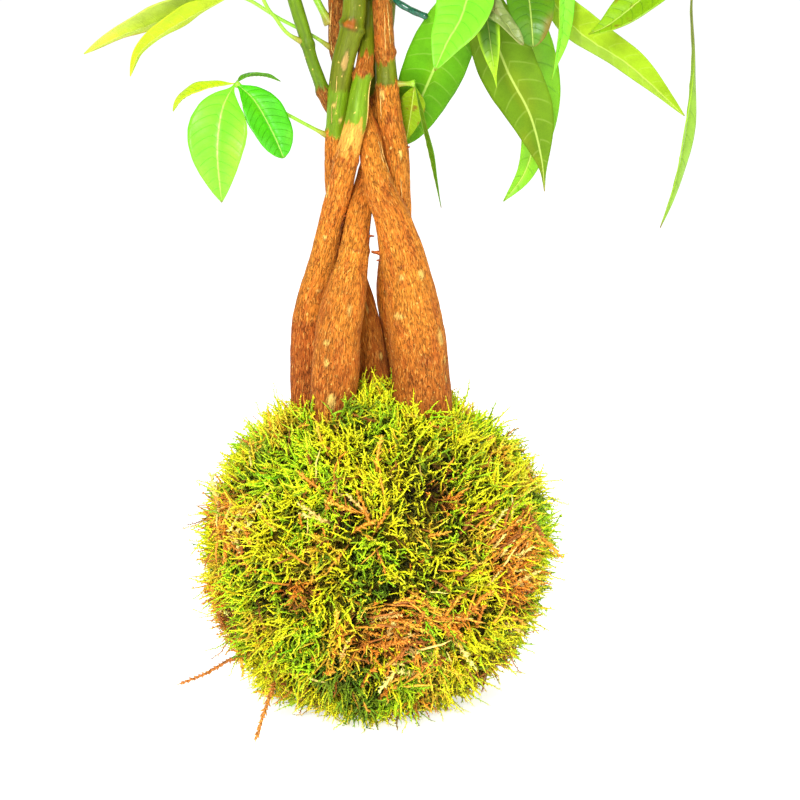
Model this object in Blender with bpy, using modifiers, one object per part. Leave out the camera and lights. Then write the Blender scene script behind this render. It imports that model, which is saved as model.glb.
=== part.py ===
"""Kokedama: a money tree of five braided stems, growing out of a ball of soil wrapped in moss.

The tables are in millimetres and the scene is in metres, +Z up. The origin is the centre of the
flat spot that the ball stands on. +X is to the right and -Y is the front.
"""

import math

import bmesh
import bpy
from mathutils import Vector

MM = 0.001

# The moss ball: a slightly flattened ball, cut flat where it stands
BALL_RADIUS = 74.0
BALL_HALF_HEIGHT = 72.0
BALL_CENTRE_Z = 64.8
BALL_LUMP = 0.018
MOSS_THICKNESS = 8.0
FIT_GAP = 0.4

# The braid
STEM_SMOOTHING = 1
STEM_BEVEL_RESOLUTION = 2
STALK_BEVEL_RESOLUTION = 1
STALK_RADIUS = 0.9
STALK_SMOOTHING = 3
STALK_GAP = 0.9
HUB_RADIUS = 1.7

# Leaf blades
BLADE_THICKNESS = 0.8
BLADE_ROWS = 5
BLADE_FOLD = 0.22
BLADE_NECK = 0.9
MIDRIB_STEPS = 8

# The garden tie round the top of the braid
TIE_RADIUS = 1.3
TIE_HEIGHT = 307.0
TIE_PITCH = 4.4
TIE_STEPS = 26
TIE_TURNS = 1.3
TIE_START_DEG = -110.0

# Each stem from its root in the soil to its growing tip: x, y, z and radius
STEMS = {
    "stem_left": [
        (-22, 3, 84, 2.5), (-24, 2, 95, 4.5), (-27, 1, 112, 7.0), (-28.5, 0, 132, 7.7),
        (-28.5, 0.5, 148, 7.8), (-28, 1, 162, 7.8), (-26.5, 1, 175, 7.0), (-23, 0, 188, 6.4),
        (-19.7, -1, 203, 5.3), (-17.5, -2.5, 212, 5.2), (-15.4, -4, 220, 5.3), (-12.7, -7, 232, 5.3),
        (-9.6, -9, 244, 4.7), (-7.5, -9.5, 252, 4.6), (-6, -8, 263.5, 4.0), (-3.7, -3.7, 276, 3.6),
        (-3, 3, 288.5, 3.4), (-2.5, 4.2, 301, 3.3), (-3, 4.5, 313, 3.2), (-6, 8, 330, 3.0),
        (-12, 16, 350, 2.7), (-17, 22, 368, 1.8),
    ],
    "stem_front": [
        (-12, -10, 84, 3.0), (-14, -12, 95, 5.5), (-17, -15, 112, 8.5), (-18, -17, 132, 9.5),
        (-16.5, -16, 148, 10.1), (-15, -14.5, 164.5, 9.7), (-12, -12.5, 180.5, 8.6), (-9.5, -10, 192, 6.8),
        (-8.3, -8, 200, 6.1), (-6.4, -4, 212, 5.4), (-5, 0.2, 219.5, 5.0), (-3, 4.3, 227.5, 4.7),
        (-0.4, 7.5, 238.5, 4.5), (0.8, 9.6, 255.5, 4.4), (1, 10.2, 276, 4.1), (4, 10, 288.5, 3.8),
        (5.4, 8.6, 301, 3.7), (6, 9, 313, 3.6), (10, 12, 330, 3.3), (15, 18, 350, 2.9), (18, 22, 370, 1.9),
    ],
    "stem_rear_left": [
        (-3, 13, 84, 2.5), (-2, 12, 95, 4.5), (-1, 12, 112, 7.0), (-1, 12.5, 132, 8.0),
        (-3, 11, 152.5, 7.5), (-6, 9.3, 169.5, 6.9), (-9, 8, 180.5, 6.4), (-12.8, 8.4, 196, 5.6),
        (-15, 9, 211, 5.1), (-16.5, 7.5, 226, 4.9), (-16.5, 4.5, 238.5, 4.7), (-15.6, 0, 251.5, 4.6),
        (-14.6, -3, 263, 4.8), (-12.8, -5.2, 276, 4.8), (-10.5, -6.2, 284.5, 4.8), (-8.6, -6.4, 293, 4.9),
        (-8, -6.5, 301, 4.9), (-8, -6.8, 313, 4.7), (-11, -9, 330, 4.2), (-16, -13, 350, 3.4),
        (-19, -16, 366, 2.2),
    ],
    "stem_right": [
        (11, -6, 80, 4.0), (14, -7, 94, 7.5), (18, -8, 112, 11.5), (20, -9, 132, 13.2),
        (19.5, -9, 147, 12.4), (17.5, -9, 163.5, 11.9), (15, -10, 180, 10.7), (11.5, -10.2, 196, 9.5),
        (9.5, -10.2, 204, 8.6), (7, -9.8, 212.5, 7.6), (3.2, -9, 220.5, 6.7), (1, -7.5, 228, 6.0),
        (-0.8, -4.8, 236, 5.4), (-2, -1.8, 244, 5.1), (-4.4, 0.4, 251.5, 4.7), (-8.3, 5.2, 263, 4.4),
        (-10.8, 6.6, 268.5, 4.2), (-15.3, 6.5, 280.5, 3.8), (-15.8, 5.4, 301, 3.6), (-17, 6, 313, 3.4),
        (-23, 8, 328, 3.0), (-31, 11, 342, 2.6), (-37, 13, 352, 1.8),
    ],
    "stem_rear_right": [
        (10, 16, 84, 2.5), (11, 17, 95, 4.5), (13, 20, 112, 7.0), (13.6, 21, 132, 7.7),
        (11.5, 18.5, 148, 7.4), (9.8, 16, 160, 7.2), (7.2, 12.4, 177, 6.8), (8, 8.4, 194, 6.2),
        (9.5, 5.6, 211, 5.9), (9.3, 3.6, 222, 5.8), (9.2, 2.6, 235.5, 5.6), (8.2, 1.6, 244, 5.4),
        (6.8, 0.4, 251.5, 5.2), (5.6, 0.4, 263, 4.8), (4.6, 0.6, 276, 4.4), (4, -1.4, 288.5, 4.2),
        (3.4, -2.4, 301, 4.2), (4.5, -3.2, 313, 4.0), (9, -7, 330, 3.6), (15, -11, 350, 3.0),
        (19, -13, 366, 2.0),
    ],
}

# A green side shoot that grows from the rear left stem
SIDE_SHOOT = [
    (-15.5, 0, 253, 2.4), (-18.5, 0.5, 256.5, 2.7), (-21, -0.5, 262, 2.8), (-23, -1, 268, 2.7),
    (-26, -2, 276.5, 2.6), (-29, -3, 287.5, 2.8), (-33, -4, 301, 2.8), (-38, -8, 320, 2.4),
    (-42, -12, 338, 1.4),
]

UP = (0, 0, 1)

# Each leaf: the stem it grows from and at what height, the bends of its stalk, the hub where its
# leaflets meet, and its leaflets. A leaflet is the points its midrib runs through to its tip, its
# width, the way its upper side faces and how far its midrib bows up, as a share of its length.
LEAVES = {
    "leaf_low_left": {
        "stem": "stem_rear_left", "height": 245, "bends": [(-38, -5, 255)], "hub": (-57.5, -10, 267),
        "leaflets": [
            ([(-70, -11, 265), (-79, -11, 261), (-83.5, -10, 255.5)], 12, (-0.2, -0.3, 1), 0.0),
            ([(-62.5, -16, 256.5), (-64.5, -20, 239.5), (-63, -20, 218.5)], 25, (-0.05, -1, 0.35), 0.0),
            ([(-49.5, -13, 260), (-42, -15, 247), (-37.5, -16, 236.5)], 17, (0.35, -1, 0.5), 0.0),
            ([(-52.5, -5, 270), (-46, -1, 270), (-39.5, 3, 267.5)], 7, (0.1, 0.1, 1), 0.0),
        ],
    },
    "leaf_far_left": {
        "stem": "stem_right", "height": 281.5, "bends": [(-26, 3, 286.5), (-39.5, 0, 293.5), (-52, 2, 301)],
        "hub": (-59.5, 5, 303),
        "leaflets": [
            ([(-76.5, 0, 298), (-93, -4, 291), (-105, -7, 286.5), (-120, -10, 279)], 20, (0.1, 0.5, 1), 0.0),
            ([(-73, -5, 296), (-86.5, -11, 288), (-96, -16, 280), (-100, -18, 270)], 15, (-0.5, 0.6, 1), 0.0),
            ([(-98, 42, 305)], 22, UP, 0.12),
            ([(-62, 58, 306)], 20, UP, 0.12),
            ([(-76, -44, 308)], 18, UP, 0.12),
        ],
    },
    "leaf_side_shoot": {
        "stem": "side_shoot", "height": 284, "bends": [(-36, -6.5, 287.5), (-40.5, -8, 293.5), (-46, -14, 303)],
        "hub": (-58, -36, 342),
        "fan": {"heading": 235, "spread": 130, "count": 5, "reach": 58, "droop": 22},
    },
    "leaf_rear_left": {
        "stem": "stem_right", "height": 291.5, "bends": [(-24.5, 6, 302), (-34, 20, 322)],
        "hub": (-52, 42, 346),
        "fan": {"heading": 150, "spread": 120, "count": 5, "reach": 62, "droop": 24},
    },
    "leaf_low_right": {
        "stem": "stem_rear_right", "height": 266.5, "bends": [], "hub": (17, -3, 266.8),
        "leaflets": [
            ([(19.5, -6, 254), (23.5, -8, 236.5), (28, -10, 215.5)], 12, (1, 0.12, 0.1), 0.0),
            ([(15.5, 5, 255), (13.5, 10, 242.5)], 10, (0.3, 0.9, 0.4), 0.0),
        ],
    },
    "leaf_front": {
        "stem": "stem_rear_right", "height": 323, "bends": [(24, -18, 331)], "hub": (42, -26, 320),
        "leaflets": [
            ([(36, -40, 296), (29.5, -46, 284), (24.5, -50, 273)], 23, (-0.15, -1, 0.35), 0.0),
            ([(34.5, -18, 297), (25, -4, 273), (19, 8, 258.5), (12, 19, 240)], 26, (0.1, 0.95, 0.3), 0.0),
            ([(42, 12, 278)], 18, (0.1, 1, 0.35), 0.06),
            ([(46, -28, 293), (50, -29, 265.5)], 10.5, (-0.35, -1, 0.2), 0.0),
            ([(46, -35, 300.5), (52.5, -39, 292), (60, -40, 283)], 9, (0.2, -1, 0.9), 0.0),
            (
                [(46.5, -17, 296), (54.5, -14, 273.5), (64.5, -13, 254.5), (69.5, -13, 236.5), (71, -13, 222.5)],
                25, (0.15, 0.95, 0.2), 0.0,
            ),
        ],
    },
    "leaf_hanging": {
        "stem": "stem_front", "height": 331, "bends": [(32, 9, 337)], "hub": (62, -3, 318),
        "leaflets": [
            (
                [(64, 5, 293), (69, 10, 268), (68.5, 10, 247), (64, 10, 229), (55, 10, 216.5)],
                20, (0.45, -0.9, 0.3), 0.0,
            ),
            ([(83, 1, 290.5), (107.5, 4, 274), (131, 5, 253)], 20, (0.3, 0.75, 0.9), 0.0),
            ([(63.5, -27, 296), (64.5, -30, 282)], 20, (0.1, -1, 0.25), 0.0),
            ([(26, 42, 306)], 22, UP, 0.12),
        ],
    },
    "leaf_upper_right": {
        "stem": "stem_front", "height": 346, "bends": [(46, 28, 352)], "hub": (79, -8, 327),
        "leaflets": [
            ([(78.5, -12, 301), (77.5, -13, 286.5), (73.5, -13, 268.5)], 9, (0.7, -0.7, 0.2), 0.0),
            ([(118, -34, 323)], 18, UP, 0.12),
            ([(116, 36, 322)], 20, UP, 0.12),
            ([(84, 44, 324)], 18, UP, 0.12),
        ],
    },
    "leaf_far_right": {
        "stem": "stem_rear_right", "height": 346, "bends": [(60, -20, 362), (110, -14, 350)],
        "hub": (134, -10, 325),
        "leaflets": [
            ([(113, -16, 304.5), (97, -20, 291.5), (87.5, -22, 287)], 19, (-0.1, -1, 0.9), 0.0),
            (
                [(130, -14, 301), (131, -18, 276.5), (129.5, -22, 248.5), (124.5, -24, 224), (118, -25, 208.5)],
                16, (0.98, -0.1, 0.15), 0.0,
            ),
            ([(186, -28, 309)], 22, UP, 0.12),
            ([(176, 30, 310)], 22, UP, 0.12),
        ],
    },
    "crown_leaf_front_left": {
        "stem": "stem_rear_left", "height": 361, "bends": [(-26, -34, 384)], "hub": (-36, -60, 384),
        "fan": {"heading": 245, "spread": 140, "count": 5, "reach": 72, "droop": 28},
    },
    "crown_leaf_back_left": {
        "stem": "stem_left", "height": 363, "bends": [(-34, 38, 392)], "hub": (-52, 58, 396),
        "fan": {"heading": 130, "spread": 140, "count": 5, "reach": 76, "droop": 26},
    },
    "crown_leaf_far_left": {
        "stem": "stem_right", "height": 348, "bends": [(-64, 4, 370)], "hub": (-92, -4, 368),
        "fan": {"heading": 186, "spread": 135, "count": 5, "reach": 66, "droop": 24},
    },
    "crown_leaf_front_right": {
        "stem": "stem_rear_right", "height": 361, "bends": [(30, -32, 394)], "hub": (46, -58, 402),
        "fan": {"heading": 305, "spread": 140, "count": 5, "reach": 74, "droop": 28},
    },
    "crown_leaf_back_right": {
        "stem": "stem_front", "height": 362, "bends": [(38, 42, 388)], "hub": (54, 64, 386),
        "fan": {"heading": 50, "spread": 140, "count": 5, "reach": 74, "droop": 26},
    },
    "crown_leaf_right": {
        "stem": "stem_front", "height": 366, "bends": [(56, 18, 396)], "hub": (88, 10, 390),
        "fan": {"heading": 355, "spread": 130, "count": 5, "reach": 72, "droop": 20},
    },
    "crown_leaf_top": {
        "stem": "stem_left", "height": 366, "bends": [(-14, 12, 398)], "hub": (-6, 2, 428),
        "fan": {"heading": 265, "spread": 150, "count": 5, "reach": 66, "droop": 16},
    },
    "crown_leaf_back": {
        "stem": "stem_front", "height": 322, "bends": [(10, 44, 346)], "hub": (11, 78, 346),
        "fan": {"heading": 80, "spread": 125, "count": 5, "reach": 60, "droop": 26},
    },
}

COLOURS = {
    "bark": (0.46, 0.17, 0.05, 0.85),
    "green_stem": (0.16, 0.30, 0.03, 0.45),
    "leaf": (0.19, 0.48, 0.03, 0.40),
    "moss": (0.32, 0.36, 0.03, 0.95),
    "soil": (0.07, 0.04, 0.02, 1.00),
    "tie": (0.01, 0.16, 0.07, 0.30),
}


def clear_scene():
    for item in list(bpy.data.objects):
        bpy.data.objects.remove(item)


def new_collection(name, parent):
    made = bpy.data.collections.new(name)
    parent.children.link(made)
    return made


def new_material(name):
    red, green, blue, roughness = COLOURS[name]
    made = bpy.data.materials.new(name)
    made.use_nodes = True
    shader = made.node_tree.nodes["Principled BSDF"]
    shader.inputs["Base Color"].default_value = (red, green, blue, 1.0)
    shader.inputs["Roughness"].default_value = roughness
    shader.inputs["Metallic"].default_value = 0.0
    made.diffuse_color = (red, green, blue, 1.0)
    return made


def as_helper(item):
    """Marks a cutter or a shape that only feeds a Boolean."""
    item.hide_render = True
    item.display_type = "WIRE"


def catmull_rom(before, start, end, after, share):
    """A point between start and end on the smooth curve through all four."""
    point = []
    for a, b, c, d in zip(before, start, end, after):
        cubic = -a + 3 * b - 3 * c + d
        square = 2 * a - 5 * b + 4 * c - d
        point.append(0.5 * (2 * b + (c - a) * share + square * share**2 + cubic * share**3))
    return tuple(point)


def smoothed(stations, steps):
    """The stations with steps - 1 more between each two of them, on a smooth curve."""
    made = []
    last = len(stations) - 1
    for i in range(last):
        four = [stations[max(0, min(last, k))] for k in (i - 1, i, i + 1, i + 2)]
        made += [catmull_rom(*four, step / steps) for step in range(steps)]
    return made + [tuple(stations[-1])]


def tube(name, stations, bevel_resolution, collection, grow=0.0):
    """A curve object through stations of x, y, z and radius in millimetres."""
    curve = bpy.data.curves.new(name, "CURVE")
    curve.dimensions = "3D"
    curve.bevel_depth = 1.0
    curve.bevel_resolution = bevel_resolution
    curve.use_fill_caps = True
    spline = curve.splines.new("POLY")
    spline.points.add(len(stations) - 1)
    for point, (x, y, z, radius) in zip(spline.points, stations):
        point.co = (x * MM, y * MM, z * MM, 1.0)
        point.radius = (radius + grow) * MM
    made = bpy.data.objects.new(name, curve)
    collection.objects.link(made)
    return made


def as_mesh(item, collection):
    """Turns a curve object into a closed mesh object of the same name."""
    bpy.context.view_layer.update()
    evaluated = item.evaluated_get(bpy.context.evaluated_depsgraph_get())
    mesh = bpy.data.meshes.new_from_object(evaluated)
    shell = bmesh.new()
    shell.from_mesh(mesh)
    bmesh.ops.remove_doubles(shell, verts=shell.verts, dist=1e-6)
    shell.to_mesh(mesh)
    shell.free()
    name = item.name
    place = item.matrix_world.copy()
    bpy.data.objects.remove(item)
    made = bpy.data.objects.new(name, mesh)
    made.matrix_world = place
    collection.objects.link(made)
    return made


def add_boolean(item, operation, others):
    modifier = item.modifiers.new(operation.title(), "BOOLEAN")
    modifier.operation = operation
    modifier.operand_type = "COLLECTION"
    modifier.collection = others
    modifier.solver = "EXACT"


def ball(name, inset, collection):
    """The moss ball's outer shape, drawn in by inset, with its flat foot."""
    shell = bmesh.new()
    bmesh.ops.create_uvsphere(shell, u_segments=20, v_segments=14, radius=1.0)
    bmesh.ops.triangulate(shell, faces=shell.faces[:], quad_method="FIXED")
    for vertex in shell.verts:
        way = vertex.co.normalized()
        turn = math.atan2(way.y, way.x)
        level = 1.0 - abs(way.z)
        lump = level * (math.sin(3 * turn + 0.6) + 0.7 * math.sin(5 * turn + 4 * way.z))
        swell = 1.0 + BALL_LUMP * lump
        x = way.x * (BALL_RADIUS - inset) * swell
        y = way.y * (BALL_RADIUS - inset) * swell
        z = BALL_CENTRE_Z + way.z * (BALL_HALF_HEIGHT - inset)
        vertex.co = (x * MM, y * MM, max(z, inset) * MM)
    for face in shell.faces:
        face.smooth = True
    mesh = bpy.data.meshes.new(name)
    shell.to_mesh(mesh)
    shell.free()
    made = bpy.data.objects.new(name, mesh)
    collection.objects.link(made)
    return made


def stem_at(stem, height):
    """Centre and radius of a stem or the side shoot at a height."""
    stations = SIDE_SHOOT if stem == "side_shoot" else STEMS[stem]
    for low, high in zip(stations, stations[1:]):
        if low[2] <= height <= high[2]:
            share = (height - low[2]) / (high[2] - low[2])
            x, y, z, radius = (a + (b - a) * share for a, b in zip(low, high))
            return Vector((x, y, z)), radius
    raise ValueError(f"{stem} doesn't reach {height} mm")


def stalk_route(leaf):
    """The leaf stalk, from just off its stem's bark to the hub."""
    centre, radius = stem_at(leaf["stem"], leaf["height"])
    first = Vector((leaf["bends"] or [leaf["hub"]])[0])
    way = first - centre
    way.z = 0.0
    way.normalize()
    start = centre + way * (radius + STALK_GAP)
    route = [tuple(start), *leaf["bends"], leaf["hub"]]
    return [(*point, STALK_RADIUS) for point in smoothed(route, STALK_SMOOTHING)]


def fan_leaflets(hub, heading, spread, count, reach, droop):
    """Leaflets set round the hub like an open hand, the middle one the longest."""
    leaflets = []
    for i in range(count):
        side = 2 * i / (count - 1) - 1
        sway = math.sin(2.4 * i + heading)
        angle = math.radians(heading + side * spread + 5 * sway)
        length = reach * (1.0 - 0.34 * abs(side) ** 1.5 + 0.04 * sway)
        fall = math.radians(droop + 8 * abs(side) + 4 * sway)
        flat = length * math.cos(fall)
        tip = (
            hub[0] + flat * math.cos(angle),
            hub[1] + flat * math.sin(angle),
            hub[2] - length * math.sin(fall),
        )
        leaflets.append(([tip], length * 0.36, UP, 0.16))
    return leaflets


def leaflets_of(leaf):
    return leaf.get("leaflets") or fan_leaflets(leaf["hub"], **leaf["fan"])


def blade_width(along):
    """Half the blade's width at a share of its length, against its widest."""
    swell = max(0.0, math.sin(math.pi * min(1.0, along**0.9)))
    return swell**0.8


def midrib_of(hub, route):
    """Points close together along a leaflet's midrib, how far each is from the hub, and the length."""
    points = [Vector(point) for point in smoothed([tuple(hub), *route], MIDRIB_STEPS)]
    runs = [0.0]
    for start, end in zip(points, points[1:]):
        runs.append(runs[-1] + (end - start).length)
    return points, runs, runs[-1]


def midrib_at(points, runs, run):
    """The point at a run along the midrib."""
    for number in range(len(runs) - 1):
        if run <= runs[number + 1]:
            share = (run - runs[number]) / (runs[number + 1] - runs[number])
            return points[number].lerp(points[number + 1], max(0.0, share))
    return points[-1].copy()


def blade(name, hub, leaflet, collection):
    """One leaflet: an open grid laid along its midrib and folded at it, then thickened."""
    route, width, facing, bow = leaflet
    points, runs, length = midrib_of(hub, route)
    sheet = bmesh.new()
    bmesh.ops.create_grid(sheet, x_segments=2, y_segments=BLADE_ROWS, size=1.0)
    for vertex in sheet.verts:
        side = vertex.co.x
        along = (vertex.co.y + 1.0) / 2.0
        before = midrib_at(points, runs, length * max(0.0, along - 0.08))
        after = midrib_at(points, runs, length * min(1.0, along + 0.08))
        forward = (after - before).normalized()
        across = forward.cross(Vector(facing)).normalized()
        upward = across.cross(forward)
        half = max(BLADE_NECK, width / 2 * blade_width(along)) if along < 0.99 else BLADE_NECK * 0.4
        rise = bow * length * 4 * along * (1 - along) + BLADE_FOLD * half * abs(side)
        centre = midrib_at(points, runs, length * along)
        vertex.co = (centre + across * (side * half) + upward * rise) * MM
    bmesh.ops.recalc_face_normals(sheet, faces=sheet.faces)
    for face in sheet.faces:
        face.smooth = True
    mesh = bpy.data.meshes.new(name)
    sheet.to_mesh(mesh)
    sheet.free()
    made = bpy.data.objects.new(name, mesh)
    collection.objects.link(made)
    solid = made.modifiers.new("Thickness", "SOLIDIFY")
    solid.thickness = BLADE_THICKNESS * MM
    solid.offset = 0.0
    as_helper(made)


def hub_knob(name, hub, collection):
    """The small swelling where the leaflets meet."""
    knob = bmesh.new()
    bmesh.ops.create_icosphere(knob, subdivisions=1, radius=HUB_RADIUS * MM)
    bmesh.ops.translate(knob, verts=knob.verts, vec=Vector(hub) * MM)
    mesh = bpy.data.meshes.new(name)
    knob.to_mesh(mesh)
    knob.free()
    made = bpy.data.objects.new(name, mesh)
    collection.objects.link(made)
    as_helper(made)


def build_leaf(name, leaf, plant, helpers, material):
    """A whole leaf as one body: stalk, hub and leaflets."""
    shapes = new_collection(name + "_shapes", helpers)
    hub_knob(name + "_hub", leaf["hub"], shapes)
    for number, leaflet in enumerate(leaflets_of(leaf), 1):
        blade(f"{name}_blade_{number}", leaf["hub"], leaflet, shapes)
    stalk = tube(name, stalk_route(leaf), STALK_BEVEL_RESOLUTION, plant)
    made = as_mesh(stalk, plant)
    add_boolean(made, "UNION", shapes)
    made.data.materials.append(material)


def build_stems(plant, helpers, material):
    """The five stems. The rear left one has the side shoot grown into it."""
    for name, stations in STEMS.items():
        stem = tube(name, smoothed(stations, STEM_SMOOTHING), STEM_BEVEL_RESOLUTION, plant)
        if name == "stem_rear_left":
            stem = as_mesh(stem, plant)
            grafts = new_collection("side_shoot_shapes", helpers)
            shoot = tube("side_shoot", SIDE_SHOOT, STALK_BEVEL_RESOLUTION, grafts)
            as_helper(as_mesh(shoot, grafts))
            add_boolean(stem, "UNION", grafts)
        stem.data.materials.append(material)


def build_ball(plant, helpers, moss, soil):
    """The soil ball and the moss wrapped round it, with room for the stems to grow through."""
    sockets = new_collection("stem_sockets", helpers)
    for name, stations in STEMS.items():
        route = smoothed(stations, STEM_SMOOTHING)
        below = [station for station in route if station[2] < BALL_CENTRE_Z + BALL_RADIUS + 30]
        below[0] = (*below[0][:2], below[0][2] - FIT_GAP, below[0][3])
        socket = tube(name + "_socket", below, STEM_BEVEL_RESOLUTION, sockets, grow=FIT_GAP)
        as_helper(as_mesh(socket, sockets))
    core = ball("soil_ball", MOSS_THICKNESS + FIT_GAP, plant)
    core.data.materials.append(soil)
    add_boolean(core, "DIFFERENCE", sockets)
    cavities = new_collection("soil_cavity", helpers)
    as_helper(ball("moss_cavity", MOSS_THICKNESS, cavities))
    cover = ball("moss_cover", 0.0, plant)
    cover.data.materials.append(moss)
    add_boolean(cover, "DIFFERENCE", cavities)
    add_boolean(cover, "DIFFERENCE", sockets)


def tie_route():
    """A loop and a bit round the bunched stems, with its end bent out to the right."""
    circles = [stem_at(name, TIE_HEIGHT) for name in STEMS]
    reach = TIE_RADIUS + 0.8
    route = []
    for step in range(TIE_STEPS + 1):
        turned = TIE_TURNS * step / TIE_STEPS
        angle = math.radians(TIE_START_DEG) + 2 * math.pi * turned
        way = Vector((math.cos(angle), math.sin(angle), 0.0))
        centre, radius = max(circles, key=lambda circle: circle[0].dot(way) + circle[1])
        point = centre + way * (radius + reach)
        route.append((point.x, point.y, TIE_HEIGHT + TIE_PITCH * (TIE_TURNS / 2 - turned), TIE_RADIUS))
    return route + [(9, -10, 301, TIE_RADIUS), (15, -14, 297, TIE_RADIUS), (22, -17, 294, TIE_RADIUS)]


def main():
    clear_scene()
    scene = bpy.context.scene.collection
    plant = new_collection("kokedama_money_tree", scene)
    helpers = new_collection("helpers", scene)
    materials = {name: new_material(name) for name in COLOURS}
    build_ball(plant, helpers, materials["moss"], materials["soil"])
    build_stems(plant, helpers, materials["bark"])
    for name, leaf in LEAVES.items():
        build_leaf(name, leaf, plant, helpers, materials["leaf"])
    tie = tube("braid_tie", tie_route(), STEM_BEVEL_RESOLUTION, plant)
    tie.data.materials.append(materials["tie"])


main()
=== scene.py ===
"""Kokedama: a money tree of five braided stems, growing out of a ball of soil wrapped in moss.

Tables are in millimetres; the scene is in metres, +Z up, with the front towards -Y.
"""

import itertools
import math

import bpy
import numpy as np
from bpy.props import FloatProperty, FloatVectorProperty, IntProperty, PointerProperty
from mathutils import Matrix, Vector


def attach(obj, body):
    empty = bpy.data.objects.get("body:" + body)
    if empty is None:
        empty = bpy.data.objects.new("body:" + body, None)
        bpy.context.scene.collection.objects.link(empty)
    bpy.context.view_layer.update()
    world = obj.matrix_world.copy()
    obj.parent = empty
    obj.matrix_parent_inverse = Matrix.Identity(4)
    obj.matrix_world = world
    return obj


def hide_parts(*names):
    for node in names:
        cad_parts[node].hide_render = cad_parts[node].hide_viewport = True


bl_info = {
    "name": "Kokedama money tree",
    "version": (1, 0, 0),
    "blender": (4, 5, 0),
    "location": "3D View > Sidebar > Kokedama",
    "description": "Builds a braided money tree that grows out of a moss ball",
    "category": "Object",
}

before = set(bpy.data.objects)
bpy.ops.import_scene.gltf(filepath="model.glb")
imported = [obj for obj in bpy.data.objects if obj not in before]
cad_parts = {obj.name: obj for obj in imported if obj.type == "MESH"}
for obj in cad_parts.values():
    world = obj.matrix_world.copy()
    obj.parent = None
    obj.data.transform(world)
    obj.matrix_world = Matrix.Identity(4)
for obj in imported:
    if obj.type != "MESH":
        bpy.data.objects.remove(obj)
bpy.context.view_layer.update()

MM = 0.001

# The moss ball, as in the solid model
BALL_RADIUS = 74.0
BALL_HALF_HEIGHT = 72.0
BALL_CENTRE_Z = 64.8
BALL_LUMP = 0.018

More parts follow.
